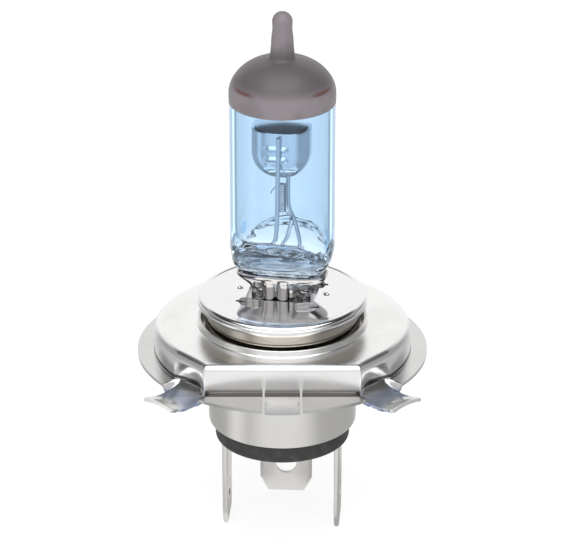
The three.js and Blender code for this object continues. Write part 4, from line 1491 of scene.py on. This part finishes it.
def floor_material(tone, glow):
    """Back-lit pale paper, mottled a little, that metal mirrors as bright in front and dull beside.

    It is clear from below, so that the underside can be seen.
    """
    material, tree, shader, place = blank_material("paper")
    noise = node(tree, "ShaderNodeTexNoise", {"Vector": place, "Scale": 30.0})
    paper = blend(tree, noise.outputs[0], tone, darker(tone, 0.985))
    tree.links.new(paper, shader.inputs["Base Color"])
    shader.inputs["Roughness"].default_value = 0.9
    shader.inputs["Specular IOR Level"].default_value = 0.0
    shader.inputs["Emission Color"].default_value = (1.0, 1.0, 1.0, 1.0)
    shader.inputs["Emission Strength"].default_value = glow
    x, y, _ = node(tree, "ShaderNodeSeparateXYZ", {0: place}).outputs
    strength = walls_by_side(tree, x, y, *FLOOR_SIDES)
    mirrored = node(tree, "ShaderNodeEmission", {"Strength": strength}).outputs[0]
    plain, glossy = seen_plainly(tree)
    mirror = product(tree, glossy, math(tree, "SUBTRACT", 1.0, plain))
    above = node(tree, "ShaderNodeMixShader", {0: mirror, 1: shader.outputs[0], 2: mirrored}).outputs[0]
    below = tree.nodes.new("ShaderNodeNewGeometry").outputs["Backfacing"]
    clear = tree.nodes.new("ShaderNodeBsdfTransparent").outputs[0]
    shown = node(tree, "ShaderNodeMixShader", {0: below, 1: above, 2: clear}).outputs[0]
    tree.links.new(shown, tree.nodes["Material Output"].inputs["Surface"])
    return material


class BULB_OT_stage(bpy.types.Operator):
    """Floor, studio light and camera"""

    bl_idname = "bulb.stage"
    bl_label = "Stage"

    def execute(self, context):
        scene, settings = context.scene, context.scene.bulb_stage
        bottom = CAD_BOX[0][2] / MM
        ends = np.array([-FLOOR_HALF, FLOOR_HALF])
        floor = mesh_object("floor", [grid(net(ends[:, None], ends, bottom), around=False)])
        floor.data.materials.append(floor_material(settings.floor, settings.glow))
        scene.world = studio_world(settings.light)
        scene.view_settings.view_transform = "Standard"
        data = bpy.data.cameras.new("camera")
        data.sensor_width = 36.0
        data.lens = settings.lens
        data.clip_start = 0.01
        camera = bpy.data.objects.new("camera", data)
        scene.collection.objects.link(camera)
        camera.location = (CAMERA_ASIDE, -settings.distance, settings.height)
        camera.rotation_euler = (np.pi / 2 - settings.pitch, 0.0, 0.0)
        scene.camera = camera
        return {"FINISHED"}


# ---------------------------------------------------------------- add-on


OPERATORS = (
    BULB_OT_flange_ring,
    BULB_OT_focus_plate,
    BULB_OT_focus_cup,
    BULB_OT_pinch_clamp,
    BULB_OT_glass,
    BULB_OT_coating,
    BULB_OT_shield,
    BULB_OT_filaments,
    BULB_OT_wires,
    BULB_OT_base_tube,
    BULB_OT_insulator,
    BULB_OT_blades,
    BULB_OT_stage,
)
SETTINGS = {
    "bulb_ring": BulbRingSizes,
    "bulb_glass": BulbGlassSizes,
    "bulb_base": BulbBaseSizes,
    "bulb_colours": BulbColours,
    "bulb_stage": BulbStageSettings,
}


class BULB_PT_panel(bpy.types.Panel):
    """Lists the bulb's sizes, colours and builders"""

    bl_idname = "BULB_PT_panel"
    bl_label = "Headlight Bulb"
    bl_space_type = "VIEW_3D"
    bl_region_type = "UI"
    bl_category = "Bulb"

    def draw(self, context):
        for name, group in SETTINGS.items():
            box = self.layout.box()
            box.label(text=group.__doc__)
            for key in group.__annotations__:
                box.prop(getattr(context.scene, name), key)
        for operator in OPERATORS:
            self.layout.operator(operator.bl_idname)


def register():
    """Registers the classes and gives every scene its settings."""
    for item in (*SETTINGS.values(), *OPERATORS, BULB_PT_panel):
        bpy.utils.register_class(item)
    for name, group in SETTINGS.items():
        setattr(bpy.types.Scene, name, PointerProperty(type=group))


def unregister():
    """Takes the settings away and unregisters the classes."""
    for name in SETTINGS:
        delattr(bpy.types.Scene, name)
    for item in reversed((*SETTINGS.values(), *OPERATORS, BULB_PT_panel)):
        bpy.utils.unregister_class(item)


def main():
    register()
    for operator in OPERATORS:
        family, name = operator.bl_idname.split(".")
        getattr(getattr(bpy.ops, family), name)()


if __name__ == "__main__":
    main()
